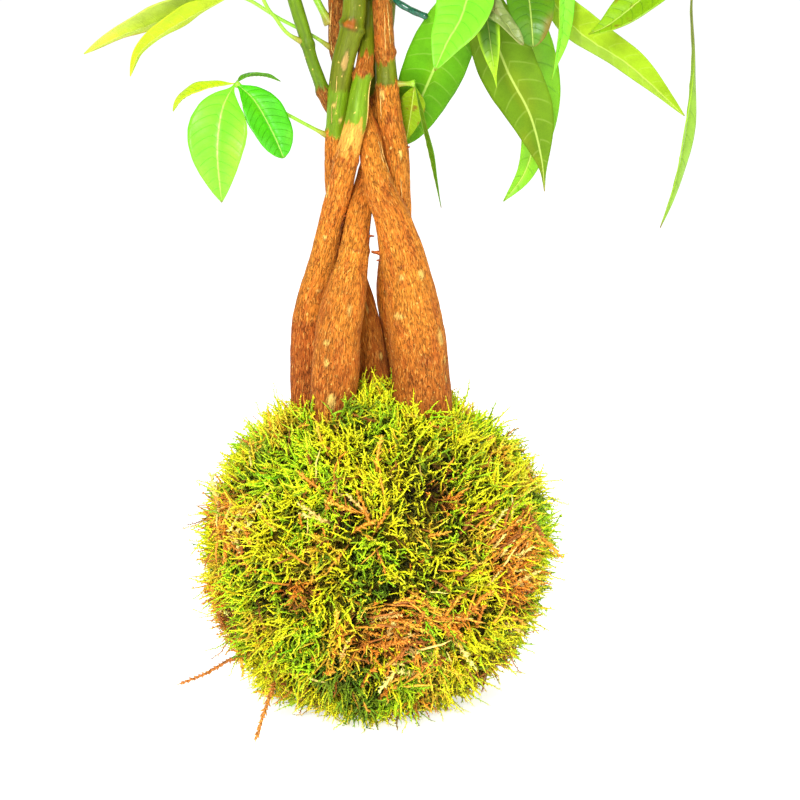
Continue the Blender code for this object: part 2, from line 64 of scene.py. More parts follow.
# The braid: each stem from its root to its growing tip, as x, y, z and radius
STEMS = {
    "stem_left": [
        (-22, 3, 84, 2.5), (-24, 2, 95, 4.5), (-27, 1, 112, 7.0), (-28.5, 0, 132, 7.7),
        (-28.5, 0.5, 148, 7.8), (-28, 1, 162, 7.8), (-26.5, 1, 175, 7.0), (-23, 0, 188, 6.4),
        (-19.7, -1, 203, 5.3), (-17.5, -2.5, 212, 5.2), (-15.4, -4, 220, 5.3), (-12.7, -7, 232, 5.3),
        (-9.6, -9, 244, 4.7), (-7.5, -9.5, 252, 4.6), (-6, -8, 263.5, 4.0), (-3.7, -3.7, 276, 3.6),
        (-3, 3, 288.5, 3.4), (-2.5, 4.2, 301, 3.3), (-3, 4.5, 313, 3.2), (-6, 8, 330, 3.0),
        (-12, 16, 350, 2.7), (-17, 22, 368, 1.8),
    ],
    "stem_front": [
        (-12, -10, 84, 3.0), (-14, -12, 95, 5.5), (-17, -15, 112, 8.5), (-18, -17, 132, 9.5),
        (-16.5, -16, 148, 10.1), (-15, -14.5, 164.5, 9.7), (-12, -12.5, 180.5, 8.6), (-9.5, -10, 192, 6.8),
        (-8.3, -8, 200, 6.1), (-6.4, -4, 212, 5.4), (-5, 0.2, 219.5, 5.0), (-3, 4.3, 227.5, 4.7),
        (-0.4, 7.5, 238.5, 4.5), (0.8, 9.6, 255.5, 4.4), (1, 10.2, 276, 4.1), (4, 10, 288.5, 3.8),
        (5.4, 8.6, 301, 3.7), (6, 9, 313, 3.6), (10, 12, 330, 3.3), (15, 18, 350, 2.9), (18, 22, 370, 1.9),
    ],
    "stem_rear_left": [
        (-3, 13, 84, 2.5), (-2, 12, 95, 4.5), (-1, 12, 112, 7.0), (-1, 12.5, 132, 8.0),
        (-3, 11, 152.5, 7.5), (-6, 9.3, 169.5, 6.9), (-9, 8, 180.5, 6.4), (-12.8, 8.4, 196, 5.6),
        (-15, 9, 211, 5.1), (-16.5, 7.5, 226, 4.9), (-16.5, 4.5, 238.5, 4.7), (-15.6, 0, 251.5, 4.6),
        (-14.6, -3, 263, 4.8), (-12.8, -5.2, 276, 4.8), (-10.5, -6.2, 284.5, 4.8), (-8.6, -6.4, 293, 4.9),
        (-8, -6.5, 301, 4.9), (-8, -6.8, 313, 4.7), (-11, -9, 330, 4.2), (-16, -13, 350, 3.4),
        (-19, -16, 366, 2.2),
    ],
    "stem_right": [
        (11, -6, 80, 4.0), (14, -7, 94, 7.5), (18, -8, 112, 11.5), (20, -9, 132, 13.2),
        (19.5, -9, 147, 12.4), (17.5, -9, 163.5, 11.9), (15, -10, 180, 10.7), (11.5, -10.2, 196, 9.5),
        (9.5, -10.2, 204, 8.6), (7, -9.8, 212.5, 7.6), (3.2, -9, 220.5, 6.7), (1, -7.5, 228, 6.0),
        (-0.8, -4.8, 236, 5.4), (-2, -1.8, 244, 5.1), (-4.4, 0.4, 251.5, 4.7), (-8.3, 5.2, 263, 4.4),
        (-10.8, 6.6, 268.5, 4.2), (-15.3, 6.5, 280.5, 3.8), (-15.8, 5.4, 301, 3.6), (-17, 6, 313, 3.4),
        (-23, 8, 328, 3.0), (-31, 11, 342, 2.6), (-37, 13, 352, 1.8),
    ],
    "stem_rear_right": [
        (10, 16, 84, 2.5), (11, 17, 95, 4.5), (13, 20, 112, 7.0), (13.6, 21, 132, 7.7),
        (11.5, 18.5, 148, 7.4), (9.8, 16, 160, 7.2), (7.2, 12.4, 177, 6.8), (8, 8.4, 194, 6.2),
        (9.5, 5.6, 211, 5.9), (9.3, 3.6, 222, 5.8), (9.2, 2.6, 235.5, 5.6), (8.2, 1.6, 244, 5.4),
        (6.8, 0.4, 251.5, 5.2), (5.6, 0.4, 263, 4.8), (4.6, 0.6, 276, 4.4), (4, -1.4, 288.5, 4.2),
        (3.4, -2.4, 301, 4.2), (4.5, -3.2, 313, 4.0), (9, -7, 330, 3.6), (15, -11, 350, 3.0),
        (19, -13, 366, 2.0),
    ],
    "side_shoot": [
        (-15.5, 0, 253, 2.4), (-18.5, 0.5, 256.5, 2.7), (-21, -0.5, 262, 2.8), (-23, -1, 268, 2.7),
        (-26, -2, 276.5, 2.6), (-29, -3, 287.5, 2.8), (-33, -4, 301, 2.8), (-38, -8, 320, 2.4),
        (-42, -12, 338, 1.4),
    ],
}

# What each stem's skin is from each height upwards
SKINS = {
    "stem_left": [
        (0, "bark_red"), (168, "bark"), (239, "peeled"), (250, "green"), (269, "node"), (277, "olive"),
    ],
    "stem_front": [(0, "bark"), (262, "olive")],
    "stem_rear_left": [(0, "bark"), (246, "green"), (264, "olive")],
    "stem_right": [(0, "bark"), (262, "dry")],
    "stem_rear_right": [(0, "bark"), (266, "olive"), (276, "node"), (302, "olive")],
    "side_shoot": [(0, "node"), (264, "green")],
}

BRAIDED = [name for name in STEMS if name != "side_shoot"]

# Swollen rings where leaves once grew: height and how far they stand out
RINGS = {
    "stem_left": [(235, 0.35), (271, 0.9), (318, 0.5)],
    "stem_front": [(197, 0.5), (262, 0.4), (318, 0.5)],
    "stem_rear_left": [(246, 0.4), (290, 1.0), (322, 0.5)],
    "stem_right": [(264, 0.4), (322, 0.4)],
    "stem_rear_right": [(266, 0.5), (280, 0.8), (325, 0.5)],
    "side_shoot": [(264, 0.5), (283, 0.5), (318, 0.4)],
}

# Scars and warts on the bark: height, place across the front from -1 to 1, half width, half height,
# and whether it is pale, a knot or the eye of a fallen leaf
SCARS = {
    "stem_left": [
        (181, 0.2, 1.2, 0.9, "pale"), (203, -0.2, 1.0, 0.8, "pale"), (222, -0.86, 0.9, 4.2, "pale"),
        (157, 0.4, 1.0, 2.2, "pale"), (236, -0.3, 1.4, 1.0, "knot"), (165, -0.2, 2.6, 2.2, "knot"),
    ],
    "stem_front": [
        (173.5, 0.35, 1.1, 2.4, "pale"), (159, -0.45, 1.9, 1.1, "pale"), (151, -0.36, 1.3, 1.7, "pale"),
        (135.5, 0.0, 2.0, 3.4, "pale"), (197, 0.2, 3.4, 0.5, "knot"), (214, 0.1, 1.2, 0.5, "knot"),
    ],
    "stem_rear_left": [
        (172, 0.45, 0.7, 2.6, "pale"), (150, 0.7, 1.0, 1.8, "pale"), (276.5, 0.12, 1.5, 4.6, "eye"),
        (291, -0.25, 3.2, 2.6, "knot"), (259, -0.4, 1.0, 1.2, "pale"), (253, 0.3, 1.0, 1.4, "pale"),
    ],
    "stem_right": [
        (187.5, -0.22, 1.1, 1.1, "pale"), (191.8, -0.06, 2.7, 0.8, "knot"), (172.5, -0.58, 2.9, 1.5, "pale"),
        (160.5, 0.80, 1.6, 3.8, "pale"), (151, 0.84, 1.0, 1.6, "pale"), (143, 0.82, 0.9, 1.6, "pale"),
        (187, 0.62, 1.5, 2.0, "pale"), (169, -0.68, 1.6, 1.6, "knot"), (152, 0.2, 3.0, 3.0, "knot"),
        (222, 0.1, 1.8, 0.6, "knot"),
    ],
    "stem_rear_right": [
        (238, 0.35, 1.0, 2.4, "pale"), (232.5, 0.1, 0.8, 0.7, "knot"), (252, -0.1, 2.2, 1.2, "knot"),
        (262, -0.5, 1.4, 2.2, "pale"),
    ],
    "side_shoot": [],
}

# Snapped side roots: stem, height, place across the front, length and radius
STUBS = [
    ("stem_right", 197, -0.97, 3.4, 1.4), ("stem_right", 193.5, -0.98, 1.8, 0.7),
    ("stem_front", 203.5, 0.97, 2.0, 0.9), ("stem_left", 211.5, 0.9, 1.8, 0.6),
    ("stem_left", 193, -0.3, 1.0, 0.8), ("stem_rear_right", 240, 0.9, 1.4, 0.8),
]

# Loose strips of bark: stem, height and place across the front at both ends, and radius
STRIPS = [
    ("stem_right", 246, 0.62, 226, 0.82, 0.30), ("stem_right", 243, 0.80, 229, 0.95, 0.26),
    ("stem_right", 240, 0.50, 232, 0.62, 0.20), ("stem_left", 271, 0.93, 249, 0.96, 0.30),
    ("stem_rear_left", 270, -0.35, 263, -0.25, 0.24), ("stem_rear_left", 262, -0.10, 256, -0.20, 0.22),
    ("stem_rear_left", 258, -0.55, 250, -0.45, 0.24), ("stem_rear_right", 265, -0.62, 252, -0.72, 0.30),
    ("stem_right", 284, -0.70, 270, -0.50, 0.40), ("stem_right", 300, -0.55, 286, -0.85, 0.40),
    ("stem_rear_right", 300, 0.45, 283, 0.55, 0.26), ("stem_rear_right", 296, 0.15, 280, 0.05, 0.26),
    ("stem_left", 240, -0.75, 231, -0.85, 0.22), ("stem_rear_right", 228, 0.30, 218, 0.38, 0.22),
]

UP = (0, 0, 1)

# Each leaf: the stem it grows from and at what height, the bends of its stalk, the hub where its
# leaflets meet, and its leaflets. A leaflet is the points its midrib runs through to its tip, its
# width, the way its upper side faces, how far its midrib bows up as a share of its length, its
# colouring and its outline. A fan is leaflets set round the hub: where the middle one heads, how far
# they spread to each side, how long the middle one is, and how steeply they droop. Angles are in
# degrees. A stalk is how thick the stalk is, where it isn't as the settings say.
LEAVES = {
    "leaf_low_left": {
        "stem": "stem_rear_left", "height": 245, "bends": [(-38, -5, 255)], "hub": (-57.5, -10, 267),
        "leaflets": [
            (
                [(-70, -11, 265), (-79, -11, 261), (-83.5, -10, 255.5)],
                12, (-0.2, -0.3, 1), 0.0, "lime", "blunt",
            ),
            (
                [(-62.5, -16, 256.5), (-64.5, -20, 239.5), (-63, -20, 218.5)],
                25, (-0.05, -1, 0.35), 0.0, "fresh", "oval",
            ),
            (
                [(-49.5, -13, 260), (-42, -15, 247), (-37.5, -16, 236.5)],
                18, (0.35, -1, 0.5), 0.0, "rich", "blunt",
            ),
            (
                [(-52.5, -5, 270), (-46, -1, 270), (-39.5, 3, 267.5)],
                7, (0.1, 0.1, 1), 0.0, "mid", "oval",
            ),
        ],
    },
    "leaf_far_left": {
        "stem": "stem_right", "height": 281.5, "bends": [(-26, 3, 286.5), (-39.5, 0, 293.5), (-52, 2, 301)],
        "hub": (-59.5, 5, 303),
        "leaflets": [
            (
                [(-76.5, 0, 298), (-93, -4, 291), (-105, -7, 286.5), (-120, -10, 279)],
                20, (0.1, 0.5, 1), 0.0, "rusty", "oval",
            ),
            (
                [(-73, -5, 296), (-86.5, -11, 288), (-96, -16, 280), (-100, -18, 270)],
                15, (-0.5, 0.6, 1), 0.0, "lime", "oval",
            ),
            ([(-98, 42, 305)], 22, UP, 0.12, "fresh", "drip"),
            ([(-62, 58, 306)], 20, UP, 0.12, "fresh", "drip"),
            ([(-76, -44, 308)], 18, UP, 0.12, "fresh", "drip"),
        ],
    },
    "leaf_side_shoot": {
        "stem": "side_shoot", "height": 284,
        "bends": [(-36, -6.5, 287.5), (-40.5, -8, 293.5), (-46, -14, 303)],
        "hub": (-58, -36, 342),
        "fan": {"heading": 235, "spread": 130, "reach": 58, "droop": 22},
    },
    "leaf_rear_left": {
        "stem": "stem_right", "height": 291.5, "bends": [(-24.5, 6, 302), (-34, 20, 322)],
        "hub": (-52, 42, 346), "stalk": 1.9,
        "fan": {"heading": 150, "spread": 120, "reach": 62, "droop": 24},
    },
    "leaf_low_right": {
        "stem": "stem_rear_right", "height": 266.5, "bends": [], "hub": (17, -3, 266.8),
        "leaflets": [
            (
                [(19.5, -6, 254), (23.5, -8, 236.5), (28, -10, 215.5)],
                8, (1, 0.12, 0.1), 0.0, "dark", "drip",
            ),
            ([(15.5, 5, 255), (13.5, 10, 242.5)], 11, (0.3, 0.9, 0.4), 0.0, "leafy", "oval"),
        ],
    },
    "leaf_front": {
        "stem": "stem_rear_right", "height": 323, "bends": [(24, -18, 331)], "hub": (42, -26, 320),
        "leaflets": [
            (
                [(36, -40, 296), (29.5, -46, 284), (24.5, -50, 273)],
                23, (-0.15, -1, 0.35), 0.0, "fresh", "oval",
            ),
            (
                [(34.5, -18, 297), (25, -4, 273), (19, 8, 258.5), (12, 19, 240)],
                26, (0.1, 0.95, 0.3), 0.0, "mid", "blunt",
            ),
            ([(42, 12, 278)], 18, (0.1, 1, 0.35), 0.06, "lime", "blunt"),
            ([(46, -28, 293), (50, -29, 265.5)], 10.5, (-0.35, -1, 0.2), 0.0, "edged", "drip"),
            (
                [(46, -35, 300.5), (52.5, -39, 292), (60, -40, 283)],
                9, (0.2, -1, 0.9), 0.0, "dry", "blunt",
            ),
            (
                [
                    (46.5, -17, 296), (54.5, -14, 273.5), (64.5, -13, 254.5), (69.5, -13, 236.5),
                    (71, -13, 222.5),
                ],
                25, (0.15, 0.95, 0.2), 0.0, "olive", "drip",
            ),
        ],
    },
    "leaf_hanging": {
        "stem": "stem_front", "height": 331, "bends": [(32, 9, 337)], "hub": (62, -3, 318),
        "leaflets": [
            (
                [(64, 5, 293), (69, 10, 268), (68.5, 10, 247), (64, 10, 229), (55, 10, 216.5)],
                20, (0.45, -0.9, 0.3), 0.0, "spring", "oval",
            ),
            (
                [(83, 1, 290.5), (107.5, 4, 274), (131, 5, 253)],
                20, (0.3, 0.75, 0.9), 0.0, "pale", "oval",
            ),
            ([(63.5, -27, 296), (64.5, -30, 282)], 20, (0.1, -1, 0.25), 0.0, "singed", "blunt"),
            ([(26, 42, 306)], 22, UP, 0.12, "mid", "drip"),
        ],
    },
    "leaf_upper_right": {
        "stem": "stem_front", "height": 346, "bends": [(46, 28, 352)], "hub": (79, -8, 327),
        "leaflets": [
            (
                [(78.5, -12, 301), (77.5, -13, 286.5), (73.5, -13, 268.5)],
                9, (0.7, -0.7, 0.2), 0.0, "fresh", "drip",
            ),
            ([(118, -34, 323)], 18, UP, 0.12, "fresh", "drip"),
            ([(116, 36, 322)], 20, UP, 0.12, "mid", "drip"),
            ([(84, 44, 324)], 18, UP, 0.12, "fresh", "drip"),
        ],
    },
    "leaf_far_right": {
        "stem": "stem_rear_right", "height": 346, "bends": [(60, -20, 362), (110, -14, 350)],
        "hub": (134, -10, 325),
        "leaflets": [
            (
                [(113, -16, 304.5), (97, -20, 291.5), (87.5, -22, 287)],
                19, (-0.1, -1, 0.9), 0.0, "leafy", "oval",
            ),
            (
                [
                    (130, -14, 301), (130.5, -18, 276.5), (128, -22, 248.5), (123.5, -24, 226),
                    (118, -25, 208.5),
                ],
                13.5, ((0.98, -0.10, 0.15), (0.92, -0.38, 0.1)), 0.0, "wilted", "late",
            ),
            ([(186, -28, 309)], 22, UP, 0.12, "fresh", "drip"),
            ([(176, 30, 310)], 22, UP, 0.12, "mid", "drip"),
        ],
    },
    "crown_leaf_front_left": {
        "stem": "stem_rear_left", "height": 361, "bends": [(-26, -34, 384)], "hub": (-36, -60, 384),
        "fan": {"heading": 245, "spread": 140, "reach": 72, "droop": 28},
    },
    "crown_leaf_back_left": {
        "stem": "stem_left", "height": 363, "bends": [(-34, 38, 392)], "hub": (-52, 58, 396),
        "fan": {"heading": 130, "spread": 140, "reach": 76, "droop": 26},
    },
    "crown_leaf_far_left": {
        "stem": "stem_right", "height": 348, "bends": [(-64, 4, 370)], "hub": (-92, -4, 368),
        "fan": {"heading": 186, "spread": 135, "reach": 66, "droop": 24},
    },
    "crown_leaf_front_right": {
        "stem": "stem_rear_right", "height": 361, "bends": [(30, -32, 394)], "hub": (46, -58, 402),
        "fan": {"heading": 305, "spread": 140, "reach": 74, "droop": 28},
    },
    "crown_leaf_back_right": {
        "stem": "stem_front", "height": 362, "bends": [(38, 42, 388)], "hub": (54, 64, 386),
        "fan": {"heading": 50, "spread": 140, "reach": 74, "droop": 26},
    },
    "crown_leaf_right": {
        "stem": "stem_front", "height": 366, "bends": [(56, 18, 396)], "hub": (88, 10, 390),
        "fan": {"heading": 355, "spread": 130, "reach": 72, "droop": 20},
    },
    "crown_leaf_top": {
        "stem": "stem_left", "height": 366, "bends": [(-14, 12, 398)], "hub": (-6, 2, 428),
        "fan": {"heading": 265, "spread": 150, "reach": 66, "droop": 16},
    },
    "crown_leaf_back": {
        "stem": "stem_front", "height": 322, "bends": [(10, 44, 346)], "hub": (11, 78, 346),
        "fan": {"heading": 80, "spread": 125, "reach": 60, "droop": 26},
    },
}

# Colourings of leaflets: upper side and underside
LEAF_TINTS = {
    "fresh": ((0.19, 0.66, 0.020), (0.32, 0.56, 0.03)),
    "rich": ((0.065, 0.48, 0.002), (0.18, 0.45, 0.01)),
    "mid": ((0.085, 0.34, 0.003), (0.105, 0.34, 0.003)),
    "lime": ((0.50, 0.70, 0.010), (0.52, 0.68, 0.02)),
    "rusty": ((0.50, 0.68, 0.016), (0.52, 0.66, 0.04)),
    "spring": ((0.195, 0.50, 0.003), (0.28, 0.50, 0.01)),
    "leafy": ((0.22, 0.42, 0.003), (0.25, 0.42, 0.006)),
    "pale": ((0.26, 0.46, 0.008), (0.29, 0.46, 0.010)),
    "wilted": ((0.26, 0.48, 0.020), (0.28, 0.48, 0.02)),
    "olive": ((0.085, 0.23, 0.003), (0.115, 0.225, 0.003)),
    "dark": ((0.055, 0.17, 0.002), (0.075, 0.19, 0.003)),
    "singed": ((0.070, 0.20, 0.003), (0.085, 0.21, 0.003)),
    "edged": ((0.080, 0.21, 0.002), (0.12, 0.25, 0.003)),
    "dry": ((0.21, 0.27, 0.070), (0.24, 0.28, 0.09)),
}

# Patches of moss of one kind: centre on the ball, reach, and kind
MOSS_PATCHES = [
    ((-33, -42, 116), 15, "green"),
    ((-24, -62, 93), 9, "green"),
    ((-55, -44, 92), 13, "ochre"),
    ((-62, -32, 88), 9, "rust"),
    ((-70, -20, 46), 12, "rust"),
    ((-66, -24, 30), 9, "rust"),
    ((28, -38, 122), 15, "lime"),
    ((50, -28, 112), 12, "lime"),
    ((8, -62, 104), 14, "lime"),
    ((58, -42, 70), 11, "rust"),
    ((64, -30, 55), 10, "rust"),
    ((46, -52, 84), 8, "green"),
    ((4, -72, 46), 10, "rust"),
    ((-10, -70, 38), 9, "ochre"),
    ((-4, -62, 20), 14, "deep"),
    ((-30, -60, 34), 13, "green"),
    ((20, -66, 40), 10, "deep"),
    ((-42, -58, 60), 10, "green"),
]

# Moss colours, and how often each kind turns up where no patch says
MOSS_KINDS = {
    "lime": ((0.95, 0.88, 0.012), 0.50),
    "green": ((0.50, 0.76, 0.010), 0.24),
    "deep": ((0.22, 0.36, 0.010), 0.05),
    "ochre": ((0.95, 0.60, 0.030), 0.15),
    "rust": ((0.72, 0.27, 0.022), 0.06),
}


class StageSettings(bpy.types.PropertyGroup):
    """The camera, the floor and the lights."""

    lens: FloatProperty(name="Lens", description="Focal length of the camera", default=95.6, unit="CAMERA")
    distance: FloatProperty(
        name="Distance", description="How far in front the camera stands", default=0.9, unit="LENGTH"
    )
    height: FloatProperty(name="Height", description="Height of the camera", default=0.29, unit="LENGTH")
    aim: FloatVectorProperty(
        name="Aim", description="The point the camera looks at", default=(0.01075, 0.0, 0.132), unit="LENGTH"
    )
    floor: FloatVectorProperty(
        name="Floor", description="Colour of the floor", default=(0.92, 0.92, 0.92), subtype="COLOR"
    )
    floor_glow: FloatProperty(name="Floor glow", description="Evens out the floor's far end", default=0.60)
    daylight: FloatProperty(name="Daylight", description="Strength of the even light", default=0.62)
    key: FloatProperty(name="Key light", description="Power of the main light", default=22.0, unit="POWER")


class MossSettings(bpy.types.PropertyGroup):
    """The moss that is wrapped round the ball."""

    sprigs: IntProperty(name="Sprigs", description="How many sprigs grow on the ball", default=20500)
    clumps: IntProperty(name="Clumps", description="How many tufts they stand in", default=340)
    length: FloatProperty(
        name="Sprig length", description="Length of an average sprig", default=0.0090, unit="LENGTH"
    )
    depth: FloatProperty(
        name="Depth", description="How far the bed lies under the tips", default=0.0052, unit="LENGTH"
    )
    tuft_height: FloatProperty(
        name="Tuft height", description="How far tufts rise over the gaps", default=0.0026, unit="LENGTH"
    )
    undergrowth: IntProperty(name="Undergrowth", description="Number of flat strands", default=6400)
    wisps: IntProperty(name="Wisps", description="How many long strands stick out", default=420)
    needles: IntProperty(name="Needles", description="How many dead brown bits lie in it", default=120)
    # The bed's near-black colour is painted shade deep between the sprigs.
    bed: FloatVectorProperty(
        name="Bed",
        description="Colour deep between the sprigs",
        default=(0.030, 0.024, 0.006),
        subtype="COLOR",
    )
    seed: IntProperty(name="Seed", description="Chooses how the sprigs fall", default=11)


class StemSettings(bpy.types.PropertyGroup):
    """The five braided stems."""

    around: IntProperty(name="Faces round", description="Faces round a stem", default=88)
    step: FloatProperty(name="Ring step", description="Distance between rings", default=0.0010, unit="LENGTH")
    fissures: FloatProperty(
        name="Fissures", description="How deep the cracks in the bark are", default=0.00026, unit="LENGTH"
    )
    bark: FloatVectorProperty(
        name="Bark", description="Colour of the bark", default=(0.66, 0.214, 0.016), subtype="COLOR"
    )
    bark_red: FloatVectorProperty(
        name="Old bark", description="Colour of the older bark", default=(0.50, 0.110, 0.008), subtype="COLOR"
    )
    peeled: FloatVectorProperty(
        name="Peeled",
        description="Colour where bark has peeled",
        default=(0.88, 0.42, 0.060),
        subtype="COLOR",
    )
    green: FloatVectorProperty(
        name="Green skin", description="Colour of young skin", default=(0.165, 0.30, 0.004), subtype="COLOR"
    )
    olive: FloatVectorProperty(
        name="Olive skin", description="Colour of older skin", default=(0.135, 0.170, 0.003), subtype="COLOR"
    )
    node: FloatVectorProperty(
        name="Nodes", description="Colour of the leaf rings", default=(0.42, 0.13, 0.012), subtype="COLOR"
    )
    dry: FloatVectorProperty(
        name="Dry sheath",
        description="Colour of the dead sheath",
        default=(0.30, 0.095, 0.012),
        subtype="COLOR",
    )
    scar: FloatVectorProperty(
        name="Scars", description="Colour of scars and warts", default=(0.90, 0.58, 0.13), subtype="COLOR"
    )


class LeafSettings(bpy.types.PropertyGroup):
    """The palm-shaped leaves."""

    thickness: FloatProperty(
        name="Thickness", description="Thickness of a leaflet", default=0.00036, unit="LENGTH"
    )
    rows: IntProperty(name="Rows", description="Faces along a leaflet", default=56)
    columns: IntProperty(name="Columns", description="Faces across a leaflet", default=14)
    veins: IntProperty(name="Veins", description="Side veins on each half", default=12)
    fold: FloatProperty(name="Fold", description="How steeply the halves fold up", default=0.26)
    wave: FloatProperty(name="Wave", description="How far the margins wave", default=0.05)
    stalk: FloatProperty(name="Stalk", description="Radius of a leaf stalk", default=0.00078, unit="LENGTH")


class TieSettings(bpy.types.PropertyGroup):
    """The garden tie round the top of the braid."""

    radius: FloatProperty(name="Radius", description="Radius of the tie", default=0.0014, unit="LENGTH")
    height: FloatProperty(name="Height", description="Height of the loop", default=0.307, unit="LENGTH")
    pitch: FloatProperty(name="Pitch", description="Rise of one turn", default=0.0044, unit="LENGTH")
    turns: FloatProperty(name="Turns", description="Turns round the stems", default=1.3)
    colour: FloatVectorProperty(
        name="Colour", description="Colour of the coating", default=(0.002, 0.040, 0.022), subtype="COLOR"
    )


# ---------------------------------------------------------------- shapes in numbers


def noise3(points, seed=0):
    """Smooth noise from -1 to 1 at each point. Its lumps are about one unit across."""
    cell = np.floor(points).astype(np.int64)
    part = points - cell
    ease = part * part * (3 - 2 * part)
    total = np.zeros(len(points))
    for corner in itertools.product((0, 1), repeat=3):
        mixed = (cell + corner) @ np.array((73856093, 19349663, 83492791)) + seed * 7919
        mixed = ((mixed ^ (mixed >> 13)) * 1274126177) & 0xFFFFFFFF
        value = ((mixed ^ (mixed >> 15)) & 0xFFFF) / 32767.5 - 1
        total += value * np.prod(np.where(corner, ease, 1 - ease), axis=1)
    return total


def rough3(points, seed=0, octaves=3):
    """Noise with finer noise on it, from about -1 to 1."""
    return sum(noise3(points * 2**k, seed + k) / 2**k for k in range(octaves)) / 1.5


def unit(vectors):
    return vectors / np.maximum(np.linalg.norm(vectors, axis=-1, keepdims=True), 1e-12)


def eased(low, high, value):
    share = np.clip((value - low) / (high - low), 0, 1)
    return share * share * (3 - 2 * share)


def catmull_rom(stations, steps):
    """The smooth curve through the stations, with steps points from each to the next."""
    ends = np.vstack([stations[:1], stations, stations[-1:]])
    share = (np.arange(steps) / steps)[:, None]
    made = []
    for a, b, c, d in zip(ends, ends[1:], ends[2:], ends[3:]):
        cubic = -a + 3 * b - 3 * c + d
        square = 2 * a - 5 * b + 4 * c - d
        made.append(0.5 * (2 * b + (c - a) * share + square * share**2 + cubic * share**3))
    return np.vstack([*made, stations[-1:]])


def even_path(stations, step):
    """The smooth curve through the stations in metres, with points step apart, and their run lengths."""
    dense = catmull_rom(np.array(stations, float) * MM, 16)
    run = np.concatenate([[0], np.cumsum(np.linalg.norm(np.diff(dense[:, :3], axis=0), axis=1))])
    marks = np.linspace(0, run[-1], max(3, round(run[-1] / step) + 1))
    return np.column_stack([np.interp(marks, run, dense[:, k]) for k in range(4)]), marks


def path_frames(points):
    """Directions across a path that don't twist, the first near +X and the second near +Y."""
    ways = unit(np.gradient(points, axis=0))
    across = [np.array((1.0, 0.0, 0.0))]
    for way in ways:
        side = across[-1] - way * (across[-1] @ way)
        across.append(side / np.linalg.norm(side))
    across = np.array(across[1:])
    return across, np.cross(ways, across)


def stem_at(stem, height):
    """Centre and radius of a stem at a height, in millimetres."""
    for low, high in zip(STEMS[stem], STEMS[stem][1:]):
        if low[2] <= height <= high[2]:
            share = (height - low[2]) / (high[2] - low[2])
            x, y, z, radius = (a + (b - a) * share for a, b in zip(low, high))
            return Vector((x, y, z)), radius
    raise ValueError(f"{stem} doesn't reach {height} mm")


def on_skin(stem, height, across, lift):
    """The point of a stem's skin at a place across its front from -1 to 1, lifted off it, in millimetres."""
    centre, radius = stem_at(stem, height)
    return centre + Vector((across, -math.sqrt(1 - across * across), 0.0)) * (radius + lift)


def ball_points(ways, inset):
    """Points on the ball's outer shape, drawn in by inset millimetres, in the directions given."""
    turn = np.arctan2(ways[:, 1], ways[:, 0])
    level = 1.0 - np.abs(ways[:, 2])
    lump = level * (np.sin(3 * turn + 0.6) + 0.7 * np.sin(5 * turn + 4 * ways[:, 2]))
    flat = (BALL_RADIUS - inset) * (1.0 + BALL_LUMP * lump)
    z = BALL_CENTRE_Z + ways[:, 2] * (BALL_HALF_HEIGHT - inset)
    return np.column_stack([ways[:, 0] * flat, ways[:, 1] * flat, z]) * MM


def even_ways(count, rng, jitter):
    """Directions spread evenly over a ball."""
    order = np.arange(count) + 0.5
    z = 1 - 2 * order / count
    turn = order * math.pi * (3 - math.sqrt(5))
    flat = np.sqrt(1 - z * z)
    ways = np.column_stack([flat * np.cos(turn), flat * np.sin(turn), z])
    return unit(ways + rng.normal(0, jitter, ways.shape))


# ---------------------------------------------------------------- objects and materials


def deselect_all():
    if bpy.context.mode != "OBJECT":
        bpy.ops.object.mode_set(mode="OBJECT")
    bpy.ops.object.select_all(action="DESELECT")


def select_only(*items):
    deselect_all()
    for item in items:
        item.select_set(True)
    bpy.context.view_layer.objects.active = items[0]


def points_of(item):
    found = np.empty(len(item.data.vertices) * 3)
    item.data.vertices.foreach_get("co", found)
    return found.reshape(-1, 3)


def set_points(item, points):
    item.data.vertices.foreach_set("co", np.asarray(points, np.float32).ravel())
    item.data.update()


def give_colour(item, name, colours):
    """Stores a colour at each vertex. A fourth column is kept as alpha."""
    colours = np.asarray(colours, np.float32)
    if colours.shape[1] == 3:
        colours = np.column_stack([colours, np.ones(len(colours), np.float32)])
    layer = item.data.attributes.get(name) or item.data.attributes.new(name, "FLOAT_COLOR", "POINT")
    layer.data.foreach_set("color", colours.ravel())


def give_vector(item, name, vectors):
    layer = item.data.attributes.new(name, "FLOAT_VECTOR", "POINT")
    layer.data.foreach_set("vector", np.asarray(vectors, np.float32).ravel())


def triangles_object(name, points, faces):
    """An object made of triangles, shaded smooth."""
    mesh = bpy.data.meshes.new(name)
    mesh.vertices.add(len(points))
    mesh.vertices.foreach_set("co", np.asarray(points, np.float32).ravel())
    mesh.loops.add(faces.size)
    mesh.loops.foreach_set("vertex_index", faces.astype(np.int32).ravel())
    mesh.polygons.add(len(faces))
    mesh.polygons.foreach_set("loop_start", np.arange(0, faces.size, 3, dtype=np.int32))
    mesh.polygons.foreach_set("use_smooth", np.ones(len(faces), bool))
    mesh.update(calc_edges=True)
    item = bpy.data.objects.new(name, mesh)
    bpy.context.scene.collection.objects.link(item)
    return item


def new_grid(name, columns, rows):
    """A flat sheet of faces from -1 to 1 each way, with its UV map."""
    deselect_all()
    bpy.ops.mesh.primitive_grid_add(x_subdivisions=columns, y_subdivisions=rows, size=2, calc_uvs=True)
    item = bpy.context.object
    item.name = item.data.name = name
    return item


def smooth_all(item):
    select_only(item)
    bpy.ops.object.shade_smooth()


